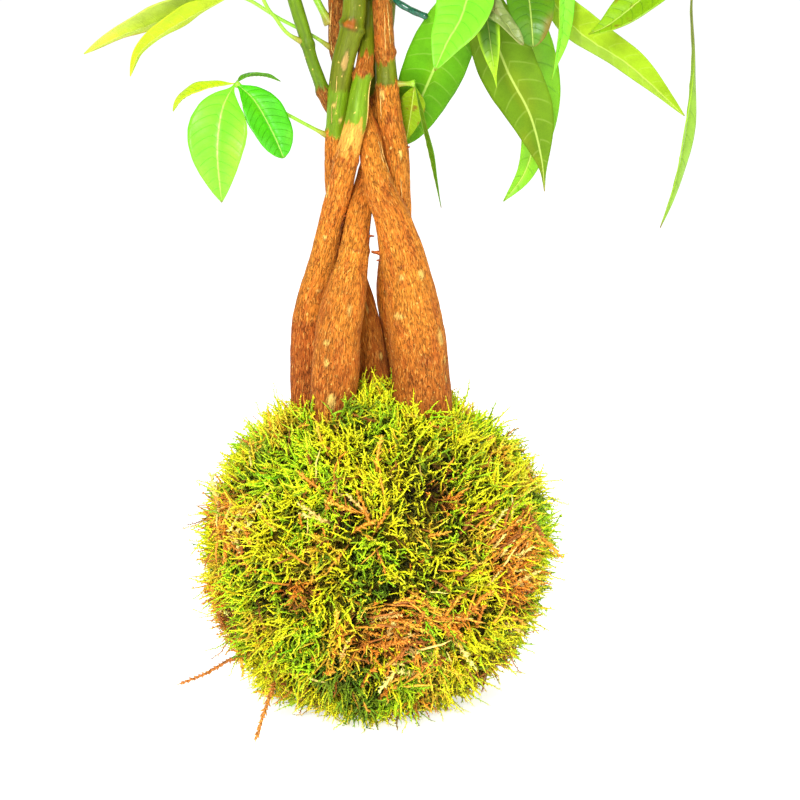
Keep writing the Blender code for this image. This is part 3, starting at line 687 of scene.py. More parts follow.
def close_tube(item):
    """Merges the seam of a rolled sheet and fills its two ends."""
    select_only(item)
    bpy.ops.object.mode_set(mode="EDIT")
    bpy.ops.mesh.select_all(action="SELECT")
    bpy.ops.mesh.remove_doubles(threshold=1e-6)
    bpy.ops.mesh.select_all(action="DESELECT")
    bpy.ops.mesh.select_mode(type="EDGE")
    bpy.ops.mesh.select_non_manifold()
    bpy.ops.mesh.edge_face_add()
    bpy.ops.mesh.select_all(action="SELECT")
    bpy.ops.mesh.normals_make_consistent(inside=False)
    bpy.ops.mesh.select_mode(type="VERT")
    bpy.ops.object.mode_set(mode="OBJECT")


def rolled_tube(name, stations, around, step):
    """A flat sheet to be rolled into a tube along the stations. Gives it with each vertex's angle, run,
    centre, outward direction and radius."""
    path, marks = even_path(stations, step)
    item = new_grid(name, around, len(path) - 1)
    flat = points_of(item)
    row = np.rint((flat[:, 1] + 1) / 2 * (len(path) - 1)).astype(int)
    angle = flat[:, 0] * math.pi
    across, upward = path_frames(path[:, :3])
    out = across[row] * np.cos(angle)[:, None] + upward[row] * np.sin(angle)[:, None]
    return item, angle, marks[row], path[row, :3], out, path[row, 3]


def join(items, name):
    select_only(*items)
    bpy.ops.object.join()
    made = bpy.context.object
    made.name = made.data.name = name
    return made


class Nodes:
    """Builds a material's nodes, one call to a node."""

    def __init__(self, name, roughness, **sockets):
        self.material = bpy.data.materials.new(name)
        self.material.use_nodes = True
        self.tree = self.material.node_tree
        self.shader = self.tree.nodes["Principled BSDF"]
        self.shader.inputs["Roughness"].default_value = roughness
        for socket, value in sockets.items():
            self.shader.inputs[socket.replace("_", " ")].default_value = value

    def add(self, kind, inputs=None, **settings):
        node = self.tree.nodes.new(kind)
        for key, value in settings.items():
            setattr(node, key, value)
        for key, value in (inputs or {}).items():
            if isinstance(value, bpy.types.NodeSocket):
                self.tree.links.new(value, node.inputs[key])
            else:
                node.inputs[key].default_value = value
        return node

    def attribute(self, name):
        return self.add("ShaderNodeAttribute", attribute_name=name)

    def place(self):
        return self.add("ShaderNodeTexCoord").outputs["Object"]

    def scaled(self, vector, scale):
        return self.add("ShaderNodeMapping", {"Vector": vector, "Scale": scale}).outputs["Vector"]

    def noise(self, vector, scale, detail=4.0, roughness=0.6):
        sockets = {"Vector": vector, "Scale": scale, "Detail": detail, "Roughness": roughness}
        return self.add("ShaderNodeTexNoise", sockets).outputs["Fac"]

    def range(self, value, low, high, to_low=0.0, to_high=1.0):
        sockets = {
            "Value": value, "From Min": low, "From Max": high, "To Min": to_low, "To Max": to_high,
        }
        return self.add("ShaderNodeMapRange", sockets).outputs["Result"]

    def maths(self, operation, first, second=0.0, third=0.0):
        return self.add("ShaderNodeMath", {0: first, 1: second, 2: third}, operation=operation).outputs[0]

    def toned(self, colour, tone):
        """A colour made lighter or darker by the tone."""
        sockets = {0: colour, "Scale": tone}
        return self.add("ShaderNodeVectorMath", sockets, operation="SCALE").outputs[0]

    def mix(self, share, first, second):
        """A share of the second colour over the first."""
        sockets = {"Factor": share, "A": first, "B": second}
        node = self.add("ShaderNodeMix", data_type="RGBA")
        usable = [s for s in node.inputs if s.type in ("RGBA", "VALUE") and s.enabled]
        for key, value in sockets.items():
            socket = next(s for s in usable if s.name == key)
            if isinstance(value, bpy.types.NodeSocket):
                self.tree.links.new(value, socket)
            else:
                socket.default_value = value
        return next(s for s in node.outputs if s.enabled)

    def bump(self, height, distance, strength=1.0):
        sockets = {"Height": height, "Distance": distance, "Strength": strength}
        self.link(self.add("ShaderNodeBump", sockets).outputs["Normal"], "Normal")

    def link(self, value, socket):
        self.tree.links.new(value, self.shader.inputs[socket])


def opaque(colour):
    return (*colour, 1.0)


# ---------------------------------------------------------------- moss

# The lie of the bed, in millimetres: how far it climbs at the stems' feet, how far from them it
# does so, the height of the feet, and its broad and small swells with their lower and upper limits
CLIMB = 4.2
CLIMB_REACH = 8.0
FOOT_HEIGHT = 138
BROAD_SWELL, SMALL_SWELL = 3.4, 2.4
SWELL_LIMITS = (-2.4, 3.4)

# How deep in the bed's tops things are rooted, from and to, in metres
SPRIG_DEPTHS = (0.0015, 0.0058)
UNDERGROWTH_DEPTHS = (0.0026, 0.0046)
NEEDLE_DEPTHS = (-0.0002, 0.0022)

# Painted light and shade on moss at each depth under the ball's outer shape, in millimetres: painted shade
# deep in the mat, painted light at the tips
PAINTED_LIGHT_DEPTHS = (-4.0, 0.5, 3.0, 6.5)
PAINTED_LIGHT_LEVELS = (1.26, 1.14, 0.34, 0.04)

# The pieces that the sprigs are split into, one beside the other round the ball
SPRIG_PIECES = 9

# Sprigs of another kind than their tuft: their share, and the share of each kind in them
STRAY_SHARE = 0.24
STRAY_CHANCES = (0.40, 0.22, 0.18, 0.13, 0.07)

# The angle from one leaf of a sprig to the next, in radians
LEAF_TURN = 2.4

# Strands in the fringe round the ball's foot
FRINGE = 150

# Colours of the loose strands, and the share of each
WISP_COLOURS = [(0.78, 0.78, 0.02), (0.42, 0.58, 0.02), (0.85, 0.55, 0.06), (0.36, 0.13, 0.02)]
WISP_CHANCES = (0.50, 0.24, 0.12, 0.14)

# Where dead bits lie thickest, as directions from the middle of the ball, and their colours
NEEDLE_SPOTS = [
    (2, -72, -18), (14, -71, -14), (28, -68, -22), (60, -42, 2), (56, -46, 16), (-62, -34, 22),
    (-68, -22, -24), (-8, -64, 34),
]
NEEDLE_COLOURS = [
    (0.90, 0.42, 0.04), (0.68, 0.26, 0.03), (0.95, 0.60, 0.16), (0.36, 0.12, 0.02), (0.82, 0.33, 0.03),
]

# Dead fronds at the foot of the ball: start, end and colour
TWIGS = [
    ((-50, -8, 22), (-87, -6, 5), (0.52, 0.18, 0.03)),
    ((-41, -34, 22), (-47, -70, 1.5), (0.62, 0.24, 0.04)),
    ((50, -20, 21), (46, -24, 8), (0.30, 0.11, 0.02)),
]


def flow_over(ways):
    """The way that moss runs at each place, the same over a few centimetres."""
    return np.column_stack([noise3(ways * 2.3 + k * 17.3, 40 + k) for k in range(3)])


def laid_flat(headings, ways):
    """Headings turned to lie flat on the ball, where ways point out of it."""
    return unit(headings - ways * np.sum(headings * ways, axis=1)[:, None])


class MossGround:
    """The shape of the moss bed: a ball with tufts, each of one kind of moss."""

    def __init__(self, settings):
        self.settings = settings
        rng = np.random.default_rng(settings.seed)
        self.tufts = even_ways(settings.clumps, rng, 0.05)
        self.tops = ball_points(self.tufts, 0.0)
        names = list(MOSS_KINDS)
        chances = [MOSS_KINDS[name][1] for name in names]
        self.kinds = rng.choice(len(names), settings.clumps, p=chances)
        for centre, reach, kind in MOSS_PATCHES:
            near = np.linalg.norm(self.tops - np.array(centre) * MM, axis=1) < reach * MM
            self.kinds[near] = names.index(kind)

    def nearest(self, ways):
        """The nearest tuft in each direction, and how near its edge that is, from 0 to 1."""
        close = ways @ self.tufts.T
        best = np.argmax(close, axis=1)
        rows = np.arange(len(ways))
        first = np.arccos(np.clip(close[rows, best], -1, 1))
        close[rows, best] = -1
        second = np.arccos(np.clip(close.max(axis=1), -1, 1))
        return best, first / np.maximum(second, 1e-6)

    def points(self, ways, depth):
        """Points of the bed, depth metres under its tops. It climbs a little at the stems."""
        edge = self.nearest(ways)[1]
        fall = self.settings.tuft_height * edge**3
        inset = (depth + fall) / MM
        spots = ball_points(ways, 0.0) / MM
        feet = [stem_at(name, FOOT_HEIGHT) for name in BRAIDED]
        gaps = [np.hypot(spots[:, 0] - foot.x, spots[:, 1] - foot.y) - radius for foot, radius in feet]
        hug = np.exp(-((np.maximum(np.min(gaps, axis=0), 0) / CLIMB_REACH) ** 2)) * (ways[:, 2] > 0)
        swell = BROAD_SWELL * noise3(ways * 2.7, 80) + SMALL_SWELL * noise3(ways * 6.5, 81)
        inset -= np.clip(swell, *SWELL_LIMITS) * (1 - hug)
        spots -= ways * inset[:, None]
        spots[:, 2] += CLIMB * hug
        return spots * MM


class OBJECT_OT_moss_bed(bpy.types.Operator):
    """Lays the dark, lumpy bed that the moss sprigs stand in; its near-black colour is painted shade between
    the sprigs
    """

    bl_idname = "kokedama.moss_bed"
    bl_label = "Moss bed"

    def execute(self, context):
        settings = context.scene.kokedama_moss
        deselect_all()
        bpy.ops.mesh.primitive_ico_sphere_add(subdivisions=7, radius=1.0)
        bed = bpy.context.object
        bed.name = bed.data.name = "moss_bed"
        ways = unit(points_of(bed))
        spots = MossGround(settings).points(ways, settings.depth)
        grain = rough3(spots / 0.0026, 3) * 0.0007 + rough3(spots / 0.009, 8) * 0.0010
        spots += ways * grain[:, None]
        spots[:, 2] = np.maximum(spots[:, 2], 0.0002)
        set_points(bed, spots)
        smooth_all(bed)
        bed.data.materials.append(self.bed_material(settings))
        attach(bed, "root")
        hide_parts("moss_cover")
        return {"FINISHED"}

    def bed_material(self, settings):
        nodes = Nodes("matted_old_moss_and_painted_shade", 0.95, Specular_IOR_Level=0.05)
        place = nodes.place()
        # Near black as painted shade between the sprigs, with brown patches of old moss and green flecks.
        deep = opaque(settings.bed)
        brown = nodes.mix(nodes.range(nodes.noise(place, 60), 0.4, 0.6), deep, (0.075, 0.036, 0.004, 1))
        fleck = nodes.range(nodes.noise(place, 700, 6, 0.8), 0.48, 0.62)
        mixed = nodes.mix(fleck, brown, (0.17, 0.18, 0.006, 1))
        nodes.link(mixed, "Base Color")
        nodes.bump(nodes.noise(place, 900, 6, 0.8), 0.0008)
        return nodes.material


def strand(points, radii):
    """A thin three-sided tube with closed ends: its vertices and triangles."""
    across, upward = path_frames(np.asarray(points, float))
    corners = np.arange(3) * 2 * math.pi / 3
    rings = [
        point + radius * (np.outer(np.cos(corners), a) + np.outer(np.sin(corners), b))
        for point, radius, a, b in zip(points, radii, across, upward)
    ]
    faces = [(0, 2, 1)]
    for ring in range(len(points) - 1):
        for side in range(3):
            a, b = ring * 3 + side, ring * 3 + (side + 1) % 3
            faces += [(a, b, b + 3), (a, b + 3, a + 3)]
    top = (len(points) - 1) * 3
    faces.append((top, top + 1, top + 2))
    return np.vstack(rings), np.array(faces)


def thorn(base, way, length, radius):
    """A small pointed moss leaf: its vertices and triangles."""
    side = np.cross(way, (0.31, 0.52, 0.80))
    side = side / np.linalg.norm(side) * radius
    other = np.cross(way, side)
    corners = [base + side * math.cos(a) + other * math.sin(a) for a in (0.0, 2.094, 4.189)]
    return np.array([*corners, base + way * length]), np.array([(0, 2, 1), (0, 1, 3), (1, 2, 3), (2, 0, 3)])


def sprig_shape(rng, leaves, bend, thickness=0.047, leaf_length=0.175, side_sprigs=0):
    """One moss sprig of unit length that grows along +Z and bends towards +X, with small pointed
    leaves all round it: its vertices, triangles, and how far along the sprig each vertex is."""
    share = np.linspace(0, 1, 4)
    phase = rng.uniform(0, 6.3)
    side_length = 0.34
    spine = np.column_stack([
        bend * share**1.6 + 0.055 * np.sin(7 * share + phase),
        0.06 * np.sin(5 * share + 2 * phase) * share,
        share * (1 - 0.25 * abs(bend)),
    ])
    spots, faces = strand(spine, thickness * np.array((1.0, 1.0, 0.85, 0.25)))
    parts = [(spots, faces, np.repeat(share, 3))]
    for number in range(side_sprigs):
        start = 0.30 + 0.30 * number
        centre = np.array([np.interp(start, share, spine[:, k]) for k in range(3)])
        way = np.array((0.2, (-1.0) ** number, 0.9)) / 1.36
        reach = np.array((0.0, 0.5, 1.0))[:, None] * side_length
        spots, faces = strand(centre + way * reach, thickness * np.array((0.9, 0.8, 0.2)))
        parts.append((spots, faces, np.repeat(start + np.array((0, 0.2, 0.4)), 3)))
        for leaf in range(4):
            turn = LEAF_TURN * leaf
            lean = np.array((math.cos(turn), math.sin(turn), 0.5)) / 1.12
            base = centre + way * side_length * (0.3 + 0.2 * leaf)
            spots, faces = thorn(base, lean, leaf_length * 0.8, thickness)
            parts.append((spots, faces, np.full(4, start + 0.3)))
    for number in range(leaves):
        start = 0.08 + 0.88 * (number + 0.5) / leaves
        centre = np.array([np.interp(start, share, spine[:, k]) for k in range(3)])
        turn = LEAF_TURN * number + rng.uniform(-0.5, 0.5)
        way = np.array((0.8 * math.cos(turn), 0.8 * math.sin(turn), rng.uniform(0.35, 0.8)))
        way /= np.linalg.norm(way)
        length = leaf_length * (1.15 - 0.45 * start) * rng.uniform(0.7, 1.25)
        spots, faces = thorn(centre, way, length, thickness * 1.15)
        parts.append((spots, faces, np.array((start, start, start, min(1.0, start + 0.15)))))
    return merged(parts)


def merged(parts):
    """Several shapes as one: vertices, triangles and shares along."""
    offset = 0
    spots, faces, along = [], [], []
    for part_spots, part_faces, part_along in parts:
        spots.append(part_spots)
        faces.append(part_faces + offset)
        along.append(part_along)
        offset += len(part_spots)
    return np.vstack(spots), np.vstack(faces), np.concatenate(along)


def placed(shape, bases, ways, lifts, sizes):
    """Copies of a shape standing at the bases along the ways, bent towards the lifts: vertices,
    triangles, copy number and share along of each vertex."""
    spots, faces, along = shape
    second = unit(np.cross(ways, lifts))
    first = np.cross(second, ways)
    frames = np.stack([first, second, ways], axis=1) * sizes[:, None, None]
    made = bases[:, None, :] + np.einsum("vk,nkj->nvj", spots, frames)
    numbers = np.repeat(np.arange(len(bases)), len(spots))
    offsets = (np.arange(len(bases)) * len(spots))[:, None, None]
    return made.reshape(-1, 3), (faces[None] + offsets).reshape(-1, 3), numbers, np.tile(along, len(bases))


def scattered(shapes, picks, bases, ways, lifts, sizes, tints):
    """Each copy takes the shape that its pick names. Gives what moss_piece takes."""
    parts, colours = [], []
    for pick, shape in enumerate(shapes):
        here = picks == pick
        parts.append(placed(shape, bases[here], ways[here], lifts[here], sizes[here]))
        colours.append(tints[here])
    return parts, colours


def painted_depth_light(spots):
    """How light moss is at each point: painted shade deep in the mat, and painted light at its tips."""
    centre = np.array((0, 0, BALL_CENTRE_Z)) * MM
    ways = unit((spots - centre) / np.array((BALL_RADIUS, BALL_RADIUS, BALL_HALF_HEIGHT)))
    outer = np.linalg.norm(ball_points(ways, 0.0) - centre, axis=1)
    depth = (outer - np.linalg.norm(spots - centre, axis=1)) / MM
    return np.interp(depth, PAINTED_LIGHT_DEPTHS, PAINTED_LIGHT_LEVELS)


def strand_material():
    nodes = Nodes("moss_strands", 0.55, Specular_IOR_Level=0.25)
    tint = nodes.attribute("tint").outputs["Color"]
    grain = nodes.range(nodes.noise(nodes.place(), 900, 3), 0.3, 0.7, 0.42, 1.5)
    nodes.link(nodes.toned(tint, grain), "Base Color")
    return nodes.material


def clear_of_stems(bases, margin):
    """True for each point that isn't inside the foot of a stem, or nearer to it than the margin."""
    clear = np.ones(len(bases), bool)
    step = 0.002
    for name in BRAIDED:
        foot = STEMS[name][2:7]
        for x, y, z, radius in even_path(foot, step)[0]:
            inside = np.hypot(bases[:, 0] - x, bases[:, 1] - y) < radius + margin
            clear &= ~(inside & (np.abs(bases[:, 2] - z) < 2 * step))
    return clear


def moss_piece(name, parts, tints, material):
    """One piece of many placed strands. A part is what placed() gives, tints its colours by copy."""
    spots, faces, colours = [], [], []
    offset = 0
    for (part_spots, part_faces, numbers, along), tint in zip(parts, tints):
        spots.append(part_spots)
        faces.append(part_faces + offset)
        # Painted shade at each strand's foot and painted light at its tip, times the painted light and shade
        # by depth.
        light = (0.70 + 0.45 * along) * painted_depth_light(part_spots)
        colours.append(tint[numbers] * light[:, None])
        offset += len(part_spots)
    spots = np.vstack(spots)
    spots[:, 2] = np.maximum(spots[:, 2], 0.0003 + 0.0004 * (noise3(spots / 0.002) + 1))
    item = triangles_object(name, spots, np.vstack(faces))
    give_colour(item, "tint", np.clip(np.vstack(colours), 0.002, 0.95))
    item.data.materials.append(material)
    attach(item, "root")
    return item


class OBJECT_OT_moss_sprigs(bpy.types.Operator):
    """Plants the leafy sprigs in tufts all over the ball, with flat strands between them"""

    bl_idname = "kokedama.moss_sprigs"
    bl_label = "Moss sprigs"

    def execute(self, context):
        settings = context.scene.kokedama_moss
        ground = MossGround(settings)
        rng = np.random.default_rng(settings.seed + 1)
        material = strand_material()
        ways = even_ways(settings.sprigs, rng, 0.02)
        tuft, edge = ground.nearest(ways)
        bases = ground.points(ways, rng.uniform(*SPRIG_DEPTHS, len(ways)))
        hidden = (bases[:, 2] < 0.004) & (np.hypot(bases[:, 0], bases[:, 1]) < 0.022)
        keep = clear_of_stems(bases, 0.0005) & ~hidden
        ways, bases, tuft, edge = ways[keep], bases[keep], tuft[keep], edge[keep]
        bases[:, 2] = np.maximum(bases[:, 2], 0.001)
        grow = self.directions(ways, bases, ground, tuft, edge, rng)
        sizes = settings.length * rng.uniform(0.65, 1.3, len(ways)) * (1.0 - 0.15 * edge)
        tints = self.tints(ways, ground.kinds[tuft], rng)
        lifts = unit(ways + rng.normal(0, 0.5, ways.shape))
        shapes = [sprig_shape(rng, 7, bend) for bend in (-0.75, -0.30, 0.35, 0.75, 1.05)]
        shapes += [sprig_shape(rng, 6, bend, side_sprigs=1) for bend in (-0.2, 0.4)]
        picks = rng.integers(0, len(shapes), len(ways))
        turn = np.arctan2(ways[:, 1], ways[:, 0]) / (2 * math.pi) + 0.5
        sector = (turn * SPRIG_PIECES).astype(int) % SPRIG_PIECES
        for number in range(SPRIG_PIECES):
            here = sector == number
            chosen = [column[here] for column in (picks, bases, grow, lifts, sizes, tints)]
            moss_piece(f"moss_sprigs_{number + 1}", *scattered(shapes, *chosen), material)
        self.undergrowth(settings, ground, material)
        return {"FINISHED"}

    def undergrowth(self, settings, ground, material):
        """Strands that lie flat between the sprigs, so that little of the bed shows."""
        rng = np.random.default_rng(settings.seed + 4)
        ways = even_ways(settings.undergrowth, rng, 0.02)
        tuft = ground.nearest(ways)[0]
        bases = ground.points(ways, rng.uniform(*UNDERGROWTH_DEPTHS, len(ways)))
        keep = clear_of_stems(bases, 0.001) & (bases[:, 2] > 0.005)
        ways, bases, tuft = ways[keep], bases[keep], tuft[keep]
        lay = laid_flat(rng.normal(0, 1, ways.shape), ways)
        grow = unit(lay + ways * rng.uniform(-0.05, 0.25, (len(ways), 1)))
        sizes = settings.length * rng.uniform(0.7, 1.3, len(ways))
        tints = self.tints(ways, ground.kinds[tuft], rng)
        shapes = [sprig_shape(rng, 2, bend, thickness=0.058) for bend in (-0.6, 0.1, 0.7)]
        picks = rng.integers(0, len(shapes), len(ways))
        moss_piece("moss_undergrowth", *scattered(shapes, picks, bases, grow, ways, sizes, tints), material)

    def directions(self, ways, bases, ground, tuft, edge, rng):
        """Sprigs lie over the ball in locks that run one way, and lift at their tips."""
        lock = rng.normal(0, 1, (len(ground.tufts), 3))[tuft]
        away = unit(bases - ground.tops[tuft])
        fall = np.array((0, 0, -1.0)) * (1 - ways[:, 2:])
        lay = flow_over(ways) * 0.4 + lock * 0.60 + away * edge[:, None] * 0.15 + fall * 0.08
        lift = rng.uniform(-0.10, 0.78, (len(ways), 1)) + 0.35 * (ways[:, 2:] > 0.86)
        lift += 1.3 * (rng.random((len(ways), 1)) < 0.07)
        return unit(laid_flat(lay, ways) + ways * lift + rng.normal(0, 0.68, ways.shape))

    def tints(self, ways, kinds, rng):
        """Each sprig's colour: its tuft's kind or a stray one, and darker low on the ball as painted shade.
        """
        names = list(MOSS_KINDS)
        palette = np.array([MOSS_KINDS[name][0] for name in names])
        strays = rng.random(len(ways)) < STRAY_SHARE
        mixed = np.where(strays, rng.choice(len(names), len(ways), p=STRAY_CHANCES), kinds)
        shade = 1.0 + 0.16 * noise3(ways * 14, 70)[:, None] + rng.normal(0, 0.22, (len(ways), 1))
        hue = rng.normal(0, 0.08, (len(ways), 1)) * np.array((1.0, -0.4, 0.0))
        # Painted shade: sprigs that sit lower on the ball are darker.
        darker_low = np.interp(ways[:, 2], (-0.9, -0.2, 0.6), (0.66, 0.82, 0.98))[:, None]
        return np.clip(palette[mixed] * (shade + hue) * darker_low, 0.004, 0.95)


class OBJECT_OT_moss_litter(bpy.types.Operator):
    """Adds long wisps that stick out, dead brown needles in the moss, and the twigs by its foot"""

    bl_idname = "kokedama.moss_litter"
    bl_label = "Wisps and litter"

    def execute(self, context):
        settings = context.scene.kokedama_moss
        ground = MossGround(settings)
        material = strand_material()
        self.add_wisps(settings, ground, material)
        self.add_needles(settings, ground, material)
        self.add_twigs(material)
        return {"FINISHED"}

    def add_wisps(self, settings, ground, material):
        """Long loose strands: all over the ball, and a fringe that splays out where it stands."""
        rng = np.random.default_rng(settings.seed + 2)
        ways = even_ways(settings.wisps, rng, 0.06)
        fringe = rng.uniform(0, 2 * math.pi, FRINGE)
        level = -rng.uniform(0.80, 0.93, FRINGE)
        flat = np.sqrt(1 - level**2)
        ways = np.vstack([ways, np.column_stack([np.cos(fringe) * flat, np.sin(fringe) * flat, level])])
        bases = ground.points(ways, settings.depth - 0.0025)
        keep = clear_of_stems(bases, 0.001) & (np.hypot(bases[:, 0], bases[:, 1]) > 0.020)
        ways, bases = ways[keep], bases[keep]
        bases[:, 2] = np.maximum(bases[:, 2], 0.001)
        outward = np.where(ways[:, 2:] < -0.75, unit(ways * np.array((1, 1, 0.0))), ways)
        grow = unit(outward + rng.normal(0, 0.45, ways.shape) - np.array((0, 0, 0.12)))
        sizes = rng.uniform(0.009, 0.019, len(ways))
        kinds = rng.choice(len(WISP_COLOURS), len(ways), p=WISP_CHANCES)
        tints = np.array(WISP_COLOURS)[kinds] * rng.uniform(0.7, 1.2, (len(ways), 1))
        lifts = unit(rng.normal(0, 1, ways.shape))
        shapes = [
            sprig_shape(rng, 15, bend, thickness=0.017, leaf_length=0.085) for bend in (-0.35, 0.1, 0.3, 0.5)
        ]
        picks = rng.integers(0, len(shapes), len(ways))
        moss_piece("moss_wisps", *scattered(shapes, picks, bases, grow, lifts, sizes, tints), material)

    def add_needles(self, settings, ground, material):
        """Dead bits lie flat on the moss, thickest low on the front and on the right."""
        rng = np.random.default_rng(settings.seed + 3)
        centres = unit(np.array(NEEDLE_SPOTS, float))
        count = settings.needles * 4
        pick = rng.integers(0, len(centres) + 4, count)
        loose = even_ways(count, rng, 0.2)
        near = unit(centres[np.minimum(pick, len(centres) - 1)] + rng.normal(0, 0.11, (count, 3)))
        ways = np.where((pick < len(centres))[:, None], near, loose)
        bases = ground.points(ways, rng.uniform(*NEEDLE_DEPTHS, count))
        keep = clear_of_stems(bases, 0.004) & (bases[:, 2] > 0.006)
        ways, bases = ways[keep], bases[keep]
        count = len(ways)
        flat = laid_flat(flow_over(ways) * 1.5 + rng.normal(0, 0.55, ways.shape), ways)
        grow = unit(flat + ways * rng.uniform(-0.10, 0.30, (count, 1)))
        share = np.linspace(0, 1, 5)
        shapes = []
        for bend in (0.03, 0.12):
            spine = np.column_stack([bend * np.sin(math.pi * share), 0.02 * np.sin(9 * share), share])
            spots, faces = strand(spine, 0.040 * np.array((0.4, 1.0, 0.9, 0.8, 0.2)))
            shapes.append((spots, faces, np.repeat(0.5 + 0.3 * share, 3)))
        shapes += [sprig_shape(rng, 14, bend) for bend in (-0.2, 0.1, 0.3)]
        sizes = rng.uniform(0.009, 0.018, count)
        colours = np.array(NEEDLE_COLOURS)
        tints = colours[rng.integers(0, len(colours), count)] * rng.uniform(0.8, 1.2, (count, 1))
        picks = rng.integers(0, len(shapes), count)
        moss_piece("moss_dead_bits", *scattered(shapes, picks, bases, grow, ways, sizes, tints), material)

    def add_twigs(self, material):
        """Dead fronds that stick out of the foot of the ball."""
        rng = np.random.default_rng(5)
        starts, ends, tints = (np.array(column, float) for column in zip(*TWIGS))
        starts, ends = starts * MM, ends * MM
        ways = unit(ends - starts)
        sizes = np.linalg.norm(ends - starts, axis=1)
        shape = sprig_shape(rng, 44, 0.05, thickness=0.019, leaf_length=0.058)
        lifts = np.tile(np.array((0.0, 0.0, 1.0)), (len(TWIGS), 1))
        moss_piece("moss_twigs", [placed(shape, starts, ways, lifts, sizes)], [tints], material)


class OBJECT_OT_soil(bpy.types.Operator):
    """Gives the soil inside the moss its finish"""

    bl_idname = "kokedama.soil"
    bl_label = "Soil"

    def execute(self, context):
        nodes = Nodes("damp_potting_soil", 0.98)
        place = nodes.place()
        crumbs = nodes.noise(place, 260, 8, 0.75)
        colour = nodes.mix(nodes.range(crumbs, 0.35, 0.65), (0.018, 0.010, 0.005, 1), (0.11, 0.055, 0.022, 1))
        nodes.link(colour, "Base Color")
        nodes.bump(crumbs, 0.002)
        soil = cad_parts["soil_ball"]
        soil.data.materials.clear()
        soil.data.materials.append(nodes.material)
        return {"FINISHED"}


# ---------------------------------------------------------------- stems

# Sizes of the bark's cracks, fine grain and lumps, across and along the stem, in metres
CRACK_SIZE = np.array((0.0013, 0.0013, 0.0075))
GRAIN_SIZE = np.array((0.0007, 0.0007, 0.0030))
LUMP_SIZE = np.array((0.006, 0.006, 0.016))

# How much of each skin's roughness is bark, and how gradually some skins begin, in millimetres
BARKINESS = {"bark": 1.0, "bark_red": 1.0, "node": 0.8, "dry": 1.0, "peeled": 0.45}
SMOOTH_SKIN = 0.12
SOFT_STARTS = {"peeled": 3.5, "bark": 6.0}
SHARP_START = 0.6

# Damp old bark by the soil: the heights it runs between, how strongly, and its shade of the old bark
DAMP_FROM, DAMP_TO = 178, 138
DAMP_SHARE, DAMP_SHADE = 0.72, 0.74
SIDE_SHOOT_SHADE = 0.68

STUB_COLOUR = (0.40, 0.085, 0.012)
STRIP_COLOUR = (0.88, 0.55, 0.16)


